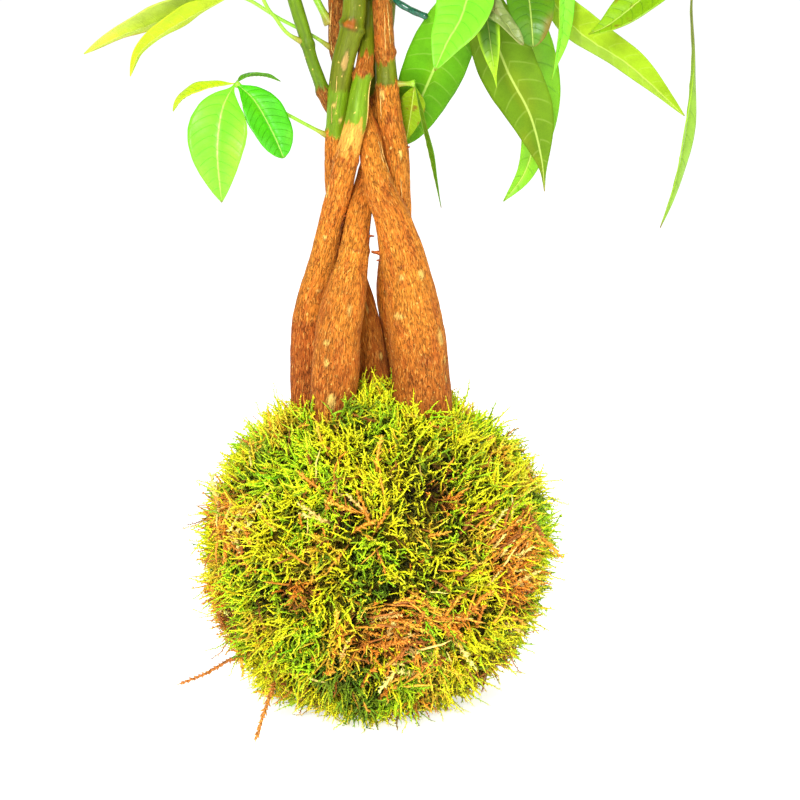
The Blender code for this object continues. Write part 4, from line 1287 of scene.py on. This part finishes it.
class OBJECT_OT_stems(bpy.types.Operator):
    """Makes the five braided stems and the side shoot, with fissured bark and leaf rings"""

    bl_idname = "kokedama.stems"
    bl_label = "Braided stems"

    def execute(self, context):
        settings = context.scene.kokedama_stems
        material = self.bark_material(settings)
        for number, name in enumerate(STEMS):
            item = self.stem(name, number, settings)
            item.data.materials.append(material)
            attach(item, "root")
            if name != "side_shoot":
                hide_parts(name)
        self.bits(material)
        return {"FINISHED"}

    def bits(self, material):
        """Snapped side roots and loose strips of bark."""
        rng = np.random.default_rng(8)
        parts, colours = [], []
        for stem, height, across, length, thick in STUBS:
            share = np.linspace(0, 1, 6)
            reach = -1.0 + (length + 1.0) * share
            line = [np.array(on_skin(stem, height + 0.12 * k, across, k)) for k in reach]
            spots = np.array(line) * MM + rng.normal(0, 0.00012, (6, 3))
            made, faces = strand(spots, thick * MM * (1.0 - 0.55 * share))
            parts.append((made, faces, np.repeat(share, 3)))
            colours += [STUB_COLOUR] * len(made)
        for stem, low, start, high, end, thick in STRIPS:
            share = np.linspace(0, 1, 12)
            lift = 0.15 + 0.5 * np.abs(share - 0.4) ** 2
            line = [
                np.array(on_skin(stem, low + (high - low) * k, start + (end - start) * k, more))
                for k, more in zip(share, lift)
            ]
            spots = np.array(line) * MM + rng.normal(0, 0.00006, (12, 3))
            swell = 0.35 + 0.65 * np.sin(math.pi * np.clip(share, 0.05, 0.95))
            made, faces = strand(spots, thick * MM * swell)
            parts.append((made, faces, np.repeat(share, 3)))
            colours += [STRIP_COLOUR] * len(made)
        spots, faces, _ = merged(parts)
        item = triangles_object("bark_bits", spots, faces)
        give_colour(item, "skin", np.column_stack([np.array(colours), np.full(len(spots), 0.4)]))
        give_vector(item, "unrolled", spots)
        item.data.materials.append(material)
        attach(item, "root")

    def stem(self, name, number, settings):
        thin = name == "side_shoot"
        around = settings.around // 2 if thin else settings.around
        item, angle, run, centre, out, radius = rolled_tube(
            name + "_bark", STEMS[name], around, settings.step
        )
        height = centre[:, 2] / MM
        skin, barkiness = self.skin(name, number, settings, angle, height)
        unrolled = np.column_stack([np.cos(angle) * radius, np.sin(angle) * radius, run])
        cracks = np.clip(1 - np.abs(noise3(unrolled / CRACK_SIZE, number)) * 1.9, 0, 1) ** 2
        fine = noise3(unrolled / GRAIN_SIZE, number + 9)
        lumps = noise3(unrolled / LUMP_SIZE, number + 20)
        rise = -settings.fissures * cracks * barkiness + 0.00010 * fine * barkiness
        rise += 0.00045 * lumps * (radius / 0.01) * (0.4 + 0.6 * barkiness)
        for ring, size in RINGS[name]:
            round_ring = np.column_stack([np.cos(angle), np.sin(angle), np.full(len(angle), ring)])
            over = height - (ring + 1.1 * noise3(round_ring, 5))
            rise += size * MM * np.exp(-((over / 1.5) ** 2))
            # Painted shade in the crease just under each ring.
            skin = skin * (1 - 0.30 * np.exp(-(((over + 0.9) / 0.45) ** 2)))[:, None]
        skin, rise = self.scars(name, settings, angle, height, radius, skin, rise)
        set_points(item, centre + out * (radius + rise)[:, None])
        shade = 1 - 0.07 * cracks * barkiness + 0.10 * lumps
        give_colour(item, "skin", np.column_stack([np.clip(skin * shade[:, None], 0.003, 1), barkiness]))
        give_vector(item, "unrolled", unrolled)
        close_tube(item)
        smooth_all(item)
        return item

    def skin(self, name, number, settings, angle, height):
        """The skin's colour at each vertex, and how much of it is bark."""
        turn = np.column_stack([np.cos(angle) * 1.6, np.sin(angle) * 1.6, height / 14])
        ragged = height + 3.2 * noise3(turn * 1.5, number + 30) + 1.6 * noise3(turn * 5, number + 31)
        colours = np.zeros((len(height), 3))
        barkiness = np.zeros(len(height))
        for place, (start, kind) in enumerate(SKINS[name]):
            soft = SOFT_STARTS.get(kind, SHARP_START)
            inside = eased(start - soft, start + soft, ragged) if place else np.ones(len(height))
            rough = BARKINESS.get(kind, SMOOTH_SKIN)
            colour = np.array(getattr(settings, kind))
            colours += (colour - colours) * inside[:, None]
            barkiness += (rough - barkiness) * inside
        blotch = noise3(turn * 2.2, number + 33)
        reddish = np.array(settings.bark_red)
        share = np.clip(blotch * 1.3, 0, 0.7) * (barkiness > 0.6)
        colours += (reddish - colours) * share[:, None]
        if name == "side_shoot":
            colours *= SIDE_SHOOT_SHADE
        else:
            darker_low = eased(DAMP_FROM, DAMP_TO, height)[:, None] * DAMP_SHARE
            colours += (reddish * DAMP_SHADE - colours) * darker_low
        return colours, barkiness

    def scars(self, name, settings, angle, height, radius, skin, rise):
        """Pale scars that stand a little proud of the bark, and reddish knots."""
        shades = {"pale": settings.scar, "eye": (0.50, 0.30, 0.09), "knot": (0.36, 0.075, 0.006)}
        for spot, across, half_width, half_height, kind in SCARS[name]:
            facing = -math.acos(across)
            apart = (angle - facing + math.pi) % (2 * math.pi) - math.pi
            offset = np.hypot(apart * radius / MM / half_width, (height - spot) / half_height)
            grain = np.column_stack([apart * radius / 0.0011, height / 1.1, np.full(len(height), spot)])
            offset += 0.35 * noise3(grain)
            mark = eased(1.15, 0.55, offset)
            rim = np.exp(-(((offset - 1.0) / 0.22) ** 2))
            skin = skin + (np.array(shades[kind]) - skin) * (0.85 * mark)[:, None]
            skin = skin * (1 - 0.25 * rim)[:, None]
            rise = rise + 0.00028 * mark
        return skin, rise

    def bark_material(self, settings):
        nodes = Nodes("stem_skin", 0.62, Specular_IOR_Level=0.22)
        skin = nodes.attribute("skin")
        along = nodes.attribute("unrolled").outputs["Vector"]
        fibre = nodes.noise(nodes.scaled(along, (1, 1, 0.20)), 1700, 4, 0.65)
        crack = nodes.noise(nodes.scaled(along, (1, 1, 0.17)), 1150, 2, 0.5)
        fleck = nodes.noise(nodes.scaled(along, (1, 1, 0.8)), 520, 2, 0.5)
        blotch = nodes.noise(nodes.scaled(along, (1, 1, 0.4)), 110, 4, 0.65)
        bark = skin.outputs["Alpha"]
        edge = nodes.maths("ABSOLUTE", nodes.maths("SUBTRACT", crack, 0.5))
        line = nodes.range(edge, 0.0, 0.034, 1.0, 0.0)
        depth = nodes.maths("MULTIPLY", line, bark)
        contrast = nodes.range(fibre, 0.36, 0.64, 0.64, 1.30)
        streak = nodes.noise(nodes.scaled(along, (1, 1, 0.06)), 420, 3, 0.6)
        soft = nodes.range(streak, 0.34, 0.66, 0.70, 1.30)
        tones = {"Factor": bark, 2: soft, 3: contrast}
        tone = nodes.add("ShaderNodeMix", tones, data_type="FLOAT").outputs[0]
        tone = nodes.maths("MULTIPLY", tone, nodes.range(blotch, 0.32, 0.68, 0.88, 1.14))
        tone = nodes.maths("MULTIPLY", tone, nodes.range(depth, 0.0, 1.0, 1.0, 0.62))
        toned = nodes.toned(skin.outputs["Color"], tone)
        rust = nodes.range(nodes.noise(nodes.scaled(along, (1, 1, 0.6)), 42, 3, 0.6), 0.50, 0.66, 0.0, 0.42)
        warm = nodes.mix(nodes.maths("MULTIPLY", rust, bark), toned, opaque(settings.bark_red))
        # Painted highlight: the high ridges of the fibre grain are mixed towards the pale scar colour.
        painted_ridge_highlight = nodes.maths("MULTIPLY", nodes.range(fibre, 0.54, 0.66, 0.0, 0.36), bark)
        light = nodes.mix(painted_ridge_highlight, warm, opaque(settings.scar))
        cream = nodes.maths("MULTIPLY", nodes.range(fleck, 0.70, 0.74), 0.6)
        nodes.link(nodes.mix(cream, light, opaque(settings.scar)), "Base Color")
        nodes.link(nodes.range(bark, 0.0, 1.0, 0.38, 0.78), "Roughness")
        relief = nodes.maths("SUBTRACT", nodes.maths("MULTIPLY", fibre, bark), depth)
        nodes.bump(relief, 0.0005)
        return nodes.material


# ---------------------------------------------------------------- leaves

FAN_LEAFLETS = 5
STALK_GREEN, STALK_BROWN = (0.30, 0.62, 0.03), (0.36, 0.30, 0.03)
BURNT_TIP = (0.20, 0.08, 0.015)


def fan_leaflets(hub, heading, spread, reach, droop):
    """Leaflets set round the hub like an open hand, the middle one the longest."""
    leaflets = []
    for i in range(FAN_LEAFLETS):
        side = 2 * i / (FAN_LEAFLETS - 1) - 1
        sway = math.sin(2.4 * i + heading)
        angle = math.radians(heading + side * spread + 5 * sway)
        length = reach * (1.0 - 0.34 * abs(side) ** 1.5 + 0.04 * sway)
        fall = math.radians(droop + 8 * abs(side) + 4 * sway)
        flat = length * math.cos(fall)
        tip = (
            hub[0] + flat * math.cos(angle),
            hub[1] + flat * math.sin(angle),
            hub[2] - length * math.sin(fall),
        )
        tint = ("fresh", "mid", "fresh")[(i + int(heading)) % 3]
        leaflets.append(([tip], length * 0.36, UP, 0.16, tint, "drip"))
    return leaflets


# A leaflet's half width along its length, as shares of both
OUTLINES = {
    "oval": [
        (0.0, 0.03), (0.04, 0.05), (0.08, 0.14), (0.16, 0.43), (0.26, 0.76), (0.36, 0.95), (0.44, 1.0),
        (0.54, 0.95), (0.66, 0.80), (0.76, 0.62), (0.85, 0.42), (0.92, 0.25), (0.97, 0.11), (1.0, 0.01),
    ],
    "drip": [
        (0.0, 0.03), (0.04, 0.05), (0.08, 0.14), (0.16, 0.42), (0.26, 0.72), (0.36, 0.92), (0.46, 1.0),
        (0.57, 0.96), (0.68, 0.81), (0.77, 0.58), (0.84, 0.35), (0.89, 0.18), (0.93, 0.08), (1.0, 0.01),
    ],
    "blunt": [
        (0.0, 0.03), (0.05, 0.08), (0.10, 0.22), (0.20, 0.54), (0.32, 0.82), (0.45, 0.97), (0.56, 1.0),
        (0.68, 0.95), (0.78, 0.84), (0.87, 0.66), (0.94, 0.44), (0.98, 0.24), (1.0, 0.02),
    ],
    "late": [
        (0.0, 0.03), (0.10, 0.12), (0.25, 0.35), (0.40, 0.60), (0.52, 0.86), (0.62, 1.0), (0.72, 0.96),
        (0.82, 0.74), (0.90, 0.44), (0.96, 0.20), (1.0, 0.01),
    ],
}


def blade_half_width(outline, along):
    """Half width at each share of the length, with the outline's corners eased."""
    places, widths = zip(*OUTLINES[outline])
    fine = np.linspace(0, 1, 401)
    rough = np.interp(fine, places, widths)
    window = np.hanning(19)
    smooth = np.convolve(np.pad(rough, 9, mode="edge"), window / window.sum(), mode="valid")
    return np.interp(along, fine, smooth)


class OBJECT_OT_leaves(bpy.types.Operator):
    """Makes every leaf: its stalk, its hub and its veined leaflets"""

    bl_idname = "kokedama.leaves"
    bl_label = "Leaves"

    def execute(self, context):
        settings = context.scene.kokedama_leaves
        upper = self.blade_material("leaf_upper_side", "upper_tint", 0.40, 1.0, 0.10)
        under = self.blade_material("leaf_underside", "under_tint", 0.60, -1.0, 0.0)
        stalk = self.stalk_material()
        sheet = new_grid("leaflet_sheet", settings.columns, settings.rows)
        for number, (name, leaf) in enumerate(LEAVES.items()):
            rng = np.random.default_rng(200 + number)
            leaflets = leaf.get("leaflets") or fan_leaflets(leaf["hub"], **leaf["fan"])
            blades = [self.blade(sheet, leaf["hub"], leaflet, settings, rng) for leaflet in leaflets]
            for blade in blades:
                blade.data.materials.append(upper)
            made = join(blades, name + "_foliage")
            made.data.materials.append(under)
            self.thicken(made, settings)
            made.data.materials.append(stalk)
            made = join([made, self.stalk(name, leaf, settings, stalk)], name + "_foliage")
            smooth_all(made)
            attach(made, "root")
            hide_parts(name)
        bpy.data.objects.remove(sheet)
        return {"FINISHED"}

    def blade(self, sheet, hub, leaflet, settings, rng):
        """One leaflet as an open sheet, bent, folded at its midrib, and raised between its veins."""
        route, width, facing, bow, tint, outline = leaflet
        facing = np.array(facing if len(np.shape(facing)) == 2 else (facing, facing), float)
        item = sheet.copy()
        item.data = sheet.data.copy()
        bpy.context.scene.collection.objects.link(item)
        flat = points_of(sheet)
        side, along = flat[:, 0], (flat[:, 1] + 1) / 2
        rows = settings.rows
        path, marks = even_path([(*point, 1.0) for point in (hub, *route)], 0.0005)
        length = marks[-1]
        even = np.linspace(0, length, rows + 1)
        spine = np.column_stack([np.interp(even, marks, path[:, k]) for k in range(3)])
        forward = unit(np.gradient(spine, axis=0))
        turning = eased(0.25, 0.70, np.linspace(0, 1, rows + 1))[:, None]
        across = unit(np.cross(forward, facing[0] + (facing[1] - facing[0]) * turning))
        upward = np.cross(across, forward)
        row = np.rint(along * rows).astype(int)
        limb = blade_half_width(outline, along)
        half = width / 2 * MM * limb
        spread = np.sign(side) * np.abs(side) ** 0.9
        rise = bow * length * 4 * along * (1 - along) + settings.fold * half * np.abs(spread)
        phase = rng.uniform(0, 6.3)
        rise += settings.wave * half * side**2 * np.sin(2 * math.pi * (2.6 * along + 0.2 * side) + phase)
        slant = half / length * np.abs(side) * (0.26 + 0.40 * np.abs(side))
        vein = settings.veins * (along - slant) + 0.5 * (side > 0)
        rise += 0.00060 * (width / 25) * np.sin(math.pi * (vein % 1.0)) ** 0.8 * limb * (1 - side**4)
        rise -= 0.0005 * np.exp(-((side / 0.10) ** 2)) * limb
        if tint == "dry":
            rise += 0.0016 * noise3(np.column_stack([side * 2.5, along * 9, side * 0])) * limb
        spot = spine[row] + across[row] * (spread * half)[:, None] + upward[row] * rise[:, None]
        set_points(item, spot)
        give_vector(item, "veins", np.column_stack([side, vein, limb]))
        self.tint(item, tint, side, along, rng)
        return item

    def tint(self, item, kind, side, along, rng):
        """Colours of the two sides, browned at some tips and margins; the material makes them paler along the
        midrib.
        """
        upper, under = (np.array(colour) for colour in LEAF_TINTS[kind])
        shade = (0.93 + 0.14 * rng.random()) * (1 + 0.06 * np.sin(5 * along + rng.uniform(0, 6)))[:, None]
        blotch = noise3(np.column_stack([side * 1.4, along * 5, side * 0 + rng.uniform(0, 50)]), 3)
        warm = np.clip(blotch - 0.25, 0, 1)[:, None] * 0.35
        burn = eased(0.965, 1.0, along)[:, None] * (0.85 if rng.random() < 0.5 else 0.25)
        brown = np.array(BURNT_TIP)
        for name, base in (("upper_tint", upper), ("under_tint", under)):
            yellow = np.array((min(1.0, base[0] * 1.9 + 0.08), base[1] * 1.08, base[2]))
            colour = base * shade
            colour = colour + (yellow - colour) * warm
            for share, other in self.marks(kind, side, along):
                colour = colour + (np.array(other) - colour) * share[:, None]
            colour = colour + (brown - colour) * burn
            give_colour(item, name, np.clip(colour, 0.003, 0.95))

    def marks(self, kind, side, along):
        """The marks on a colouring: how strong each is at each vertex, and its colour."""
        if kind == "wilted":
            return [(eased(0.55, 0.30, along) * 0.9, (0.15, 0.16, 0.030))]
        if kind == "rusty":
            margin = eased(0.70, 1.0, side) * eased(0.45, 0.75, along)
            return [(margin * 0.8, (0.50, 0.20, 0.02)), (eased(0.1, -0.9, side) * 0.25, (0.5, 0.55, 0.22))]
        if kind == "singed":
            spots = np.column_stack([side * 3, along * 9, side * 0])
            patch = eased(0.55, 0.95, -side + 1.6 * (along - 0.80) + 0.4 * noise3(spots, 6))
            return [(patch * eased(0.66, 0.84, along) * 0.75, (0.22, 0.12, 0.008))]
        if kind == "pale":
            # Painted light: the half of the leaflet on one side of the midrib is painted paler.
            return [(eased(0.04, -0.04, side) * 0.75, (0.38, 0.60, 0.03))]
        if kind == "edged":
            margin = np.maximum(eased(0.55, 1.0, np.abs(side)), eased(0.62, 0.95, along))
            return [(margin * 0.8, (0.42, 0.72, 0.01))]
        if kind == "leafy":
            fleck = noise3(np.column_stack([side * 6, along * 22, side * 0]), 12)
            return [(eased(0.62, 0.80, fleck) * 0.8, (0.22, 0.10, 0.01))]
        return []

    def thicken(self, item, settings):
        solid = item.modifiers.new("Thickness", "SOLIDIFY")
        solid.thickness = settings.thickness
        solid.offset = 0.0
        solid.material_offset = 1
        solid.material_offset_rim = 1
        select_only(item)
        bpy.ops.object.modifier_apply(modifier=solid.name)

    def stalk(self, name, leaf, settings, material):
        """The stalk from the stem to the hub, swollen at its foot and at the hub."""
        centre, radius = stem_at(leaf["stem"], leaf["height"])
        first = Vector((leaf["bends"] or [leaf["hub"]])[0])
        way = first - centre
        way.z = 0.0
        way.normalize()
        start = centre + way * (radius - 0.5)
        route = [(*start, 1.0), *((*bend, 1.0) for bend in leaf["bends"]), (*leaf["hub"], 1.0)]
        item, _, run, middle, out, _ = rolled_tube(name + "_stalk", route, 10, 0.0012)
        whole = run.max()
        thick = settings.stalk * leaf.get("stalk", 1.0) * (1.0 + 0.75 * np.exp(-((run / 0.0035) ** 2)))
        thick = thick * (1.0 + 1.1 * np.exp(-(((whole - run) / 0.0022) ** 2)))
        set_points(item, middle + out * thick[:, None])
        foot = np.exp(-((run / 0.006) ** 2))[:, None]
        green, brown = np.array(STALK_GREEN), np.array(STALK_BROWN)
        for side in ("upper_tint", "under_tint"):
            give_colour(item, side, green + (brown - green) * foot)
        close_tube(item)
        item.data.materials.append(material)
        return item

    def blade_material(self, name, tint, roughness, vein_side, coat):
        """Veins run from the midrib to the margin; they are sunk above and stand proud below."""
        gloss = 0.26 if vein_side > 0 else 0.14
        nodes = Nodes(name, roughness, Specular_IOR_Level=gloss, Coat_Weight=coat, Coat_Roughness=0.25)
        colour = nodes.attribute(tint).outputs["Color"]
        veins = nodes.attribute("veins").outputs["Vector"]
        parts = nodes.add("ShaderNodeSeparateXYZ", {"Vector": veins})
        across = nodes.maths("ABSOLUTE", parts.outputs["X"])
        inside = nodes.maths("FRACT", parts.outputs["Y"])
        away = nodes.maths("ABSOLUTE", nodes.maths("SUBTRACT", inside, 0.5))
        fade = nodes.range(across, 0.7, 1.0, 1.0, 0.15)
        side_vein = nodes.maths("MULTIPLY", nodes.range(away, 0.43, 0.50), fade)
        midrib_width = nodes.maths("DIVIDE", 0.050, nodes.maths("ADD", parts.outputs["Z"], 0.25))
        midrib = nodes.range(nodes.maths("DIVIDE", across, midrib_width), 0.5, 1.0, 1.0, 0.0)
        place = nodes.place()
        mesh = nodes.add(
            "ShaderNodeTexVoronoi", {"Vector": place, "Scale": 900.0}, feature="DISTANCE_TO_EDGE"
        ).outputs["Distance"]
        net = nodes.range(mesh, 0.0, 0.09, 0.90, 1.0)
        cloud = nodes.range(nodes.noise(place, 130, 4), 0.3, 0.7, 0.88, 1.12)
        tone = nodes.maths("MULTIPLY", net, cloud)
        shaded = nodes.toned(colour, tone)
        pale = nodes.mix(0.40, colour, (0.80, 0.95, 0.22, 1))
        if vein_side > 0:
            dark = nodes.mix(0.5, colour, (0.02, 0.12, 0.004, 1))
            veined = nodes.mix(nodes.maths("MULTIPLY", side_vein, 0.55), shaded, dark)
        else:
            veined = nodes.mix(nodes.maths("MULTIPLY", side_vein, 0.24), shaded, pale)
        nodes.link(nodes.mix(nodes.maths("MULTIPLY", midrib, 0.9), veined, pale), "Base Color")
        relief = nodes.maths("ADD", side_vein, nodes.maths("MULTIPLY", midrib, 1.6))
        height = nodes.maths("MULTIPLY_ADD", relief, -vein_side, nodes.maths("MULTIPLY", mesh, 0.2))
        nodes.bump(height, 0.00022, 0.7 if vein_side > 0 else 0.35)
        return nodes.material

    def stalk_material(self):
        nodes = Nodes("leaf_stalk", 0.42)
        colour = nodes.attribute("upper_tint").outputs["Color"]
        cloud = nodes.range(nodes.noise(nodes.place(), 260, 3), 0.3, 0.7, 0.8, 1.15)
        nodes.link(nodes.toned(colour, cloud), "Base Color")
        return nodes.material


# ---------------------------------------------------------------- tie and stage

# Where the tie starts round the stems, how far it stands off them, and the points its end runs
# through, in radians and millimetres
TIE_START = math.radians(-110)
TIE_GAP = 0.9
TIE_END = [(9, -10, 301), (15, -14, 297), (22, -17, 294)]


class OBJECT_OT_tie(bpy.types.Operator):
    """Winds the green garden tie round the top of the braid"""

    bl_idname = "kokedama.tie"
    bl_label = "Garden tie"

    def execute(self, context):
        settings = context.scene.kokedama_tie
        height = settings.height / MM
        circles = [stem_at(name, height) for name in BRAIDED]
        route = []
        steps = 40
        for step in range(steps + 1):
            turned = settings.turns * step / steps
            angle = TIE_START + 2 * math.pi * turned
            way = Vector((math.cos(angle), math.sin(angle), 0.0))
            centre, radius = max(circles, key=lambda circle: circle[0].dot(way) + circle[1])
            point = centre + way * (radius + settings.radius / MM + TIE_GAP)
            rise = settings.pitch / MM * (settings.turns / 2 - turned)
            route.append((point.x, point.y, height + rise, 1.0))
        route += [(*point, 1.0) for point in TIE_END]
        item, _, run, middle, out, _ = rolled_tube("braid_tie_wire", route, 14, 0.0008)
        ribs = 1.0 + 0.05 * np.sin(run / 0.0009)
        end = np.minimum(run, run.max() - run)
        ribs *= np.clip(0.55 + end / 0.0012, 0.55, 1.0)
        set_points(item, middle + out * (settings.radius * ribs)[:, None])
        close_tube(item)
        smooth_all(item)
        nodes = Nodes("green_wire_coating", 0.28, Coat_Weight=0.4)
        scuff = nodes.range(nodes.noise(nodes.place(), 700, 4), 0.35, 0.7)
        dark, light = opaque(settings.colour), (0.004, 0.15, 0.08, 1)
        nodes.link(nodes.mix(scuff, dark, light), "Base Color")
        nodes.link(nodes.range(scuff, 0, 1, 0.22, 0.45), "Roughness")
        item.data.materials.append(nodes.material)
        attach(item, "root")
        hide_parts("braid_tie")
        return {"FINISHED"}


class OBJECT_OT_stage(bpy.types.Operator):
    """Sets up the floor, the lights and the camera"""

    bl_idname = "kokedama.stage"
    bl_label = "Stage"

    def execute(self, context):
        settings = context.scene.kokedama_stage
        scene = context.scene
        deselect_all()
        bpy.ops.mesh.primitive_plane_add(size=60.0, location=(0, 0, 0))
        floor = bpy.context.object
        floor.name = "floor"
        glow = {"Emission_Color": (1, 1, 1, 1), "Emission_Strength": settings.floor_glow}
        nodes = Nodes("pale_floor", 0.9, **glow)
        cloud = nodes.range(nodes.noise(nodes.place(), 3, 3), 0, 1, 0.97, 1.0)
        nodes.link(nodes.toned(tuple(settings.floor), cloud), "Base Color")
        floor.data.materials.append(nodes.material)
        world = bpy.data.worlds.new("studio")
        world.use_nodes = True
        nodes = world.node_tree.nodes
        background = nodes["Background"]
        background.inputs["Color"].default_value = (1, 1, 1, 1)
        seen = nodes.new("ShaderNodeLightPath").outputs["Is Camera Ray"]
        strength = nodes.new("ShaderNodeMapRange")
        strength.inputs["To Min"].default_value = settings.daylight
        strength.inputs["To Max"].default_value = 1.05
        world.node_tree.links.new(seen, strength.inputs["Value"])
        world.node_tree.links.new(strength.outputs["Result"], background.inputs["Strength"])
        scene.world = world
        self.area_light("key", (-0.30, -1.40, 0.72), 0.45, settings.key)
        self.area_light("fill", (1.2, -0.9, 0.7), 0.9, settings.key * 0.25)
        self.area_light("back", (0.3, 1.3, 1.2), 0.9, settings.key * 0.45)
        bpy.ops.object.camera_add(location=(settings.aim[0], -settings.distance, settings.height))
        camera = bpy.context.object
        camera.rotation_euler = (Vector(settings.aim) - camera.location).to_track_quat("-Z", "Y").to_euler()
        camera.data.lens = settings.lens
        camera.data.sensor_width = 36.0
        scene.camera = camera
        scene.view_settings.view_transform = "Standard"
        return {"FINISHED"}

    def area_light(self, name, place, size, power):
        bpy.ops.object.light_add(type="AREA", location=place)
        light = bpy.context.object
        light.name = name
        light.data.energy = power
        light.data.size = size
        aim = Vector((0, 0, 0.18)) - Vector(place)
        light.rotation_euler = aim.to_track_quat("-Z", "Y").to_euler()


class VIEW3D_PT_kokedama(bpy.types.Panel):
    """Lists the plant's pieces in the sidebar"""

    bl_label = "Kokedama"
    bl_idname = "VIEW3D_PT_kokedama"
    bl_space_type = "VIEW_3D"
    bl_region_type = "UI"
    bl_category = "Kokedama"

    def draw(self, context):
        for operator in OPERATORS:
            self.layout.operator(operator.bl_idname)


SETTINGS = {
    "kokedama_stage": StageSettings,
    "kokedama_moss": MossSettings,
    "kokedama_stems": StemSettings,
    "kokedama_leaves": LeafSettings,
    "kokedama_tie": TieSettings,
}
OPERATORS = (
    OBJECT_OT_soil,
    OBJECT_OT_moss_bed,
    OBJECT_OT_moss_sprigs,
    OBJECT_OT_moss_litter,
    OBJECT_OT_stems,
    OBJECT_OT_leaves,
    OBJECT_OT_tie,
    OBJECT_OT_stage,
)


def register():
    for kind in (*SETTINGS.values(), *OPERATORS, VIEW3D_PT_kokedama):
        bpy.utils.register_class(kind)
    for name, kind in SETTINGS.items():
        setattr(bpy.types.Scene, name, PointerProperty(type=kind))


def unregister():
    for name in SETTINGS:
        delattr(bpy.types.Scene, name)
    for kind in reversed((*SETTINGS.values(), *OPERATORS, VIEW3D_PT_kokedama)):
        bpy.utils.unregister_class(kind)


def main():
    register()
    for operator in OPERATORS:
        group, name = operator.bl_idname.split(".")
        getattr(getattr(bpy.ops, group), name)()


if __name__ == "__main__":
    main()
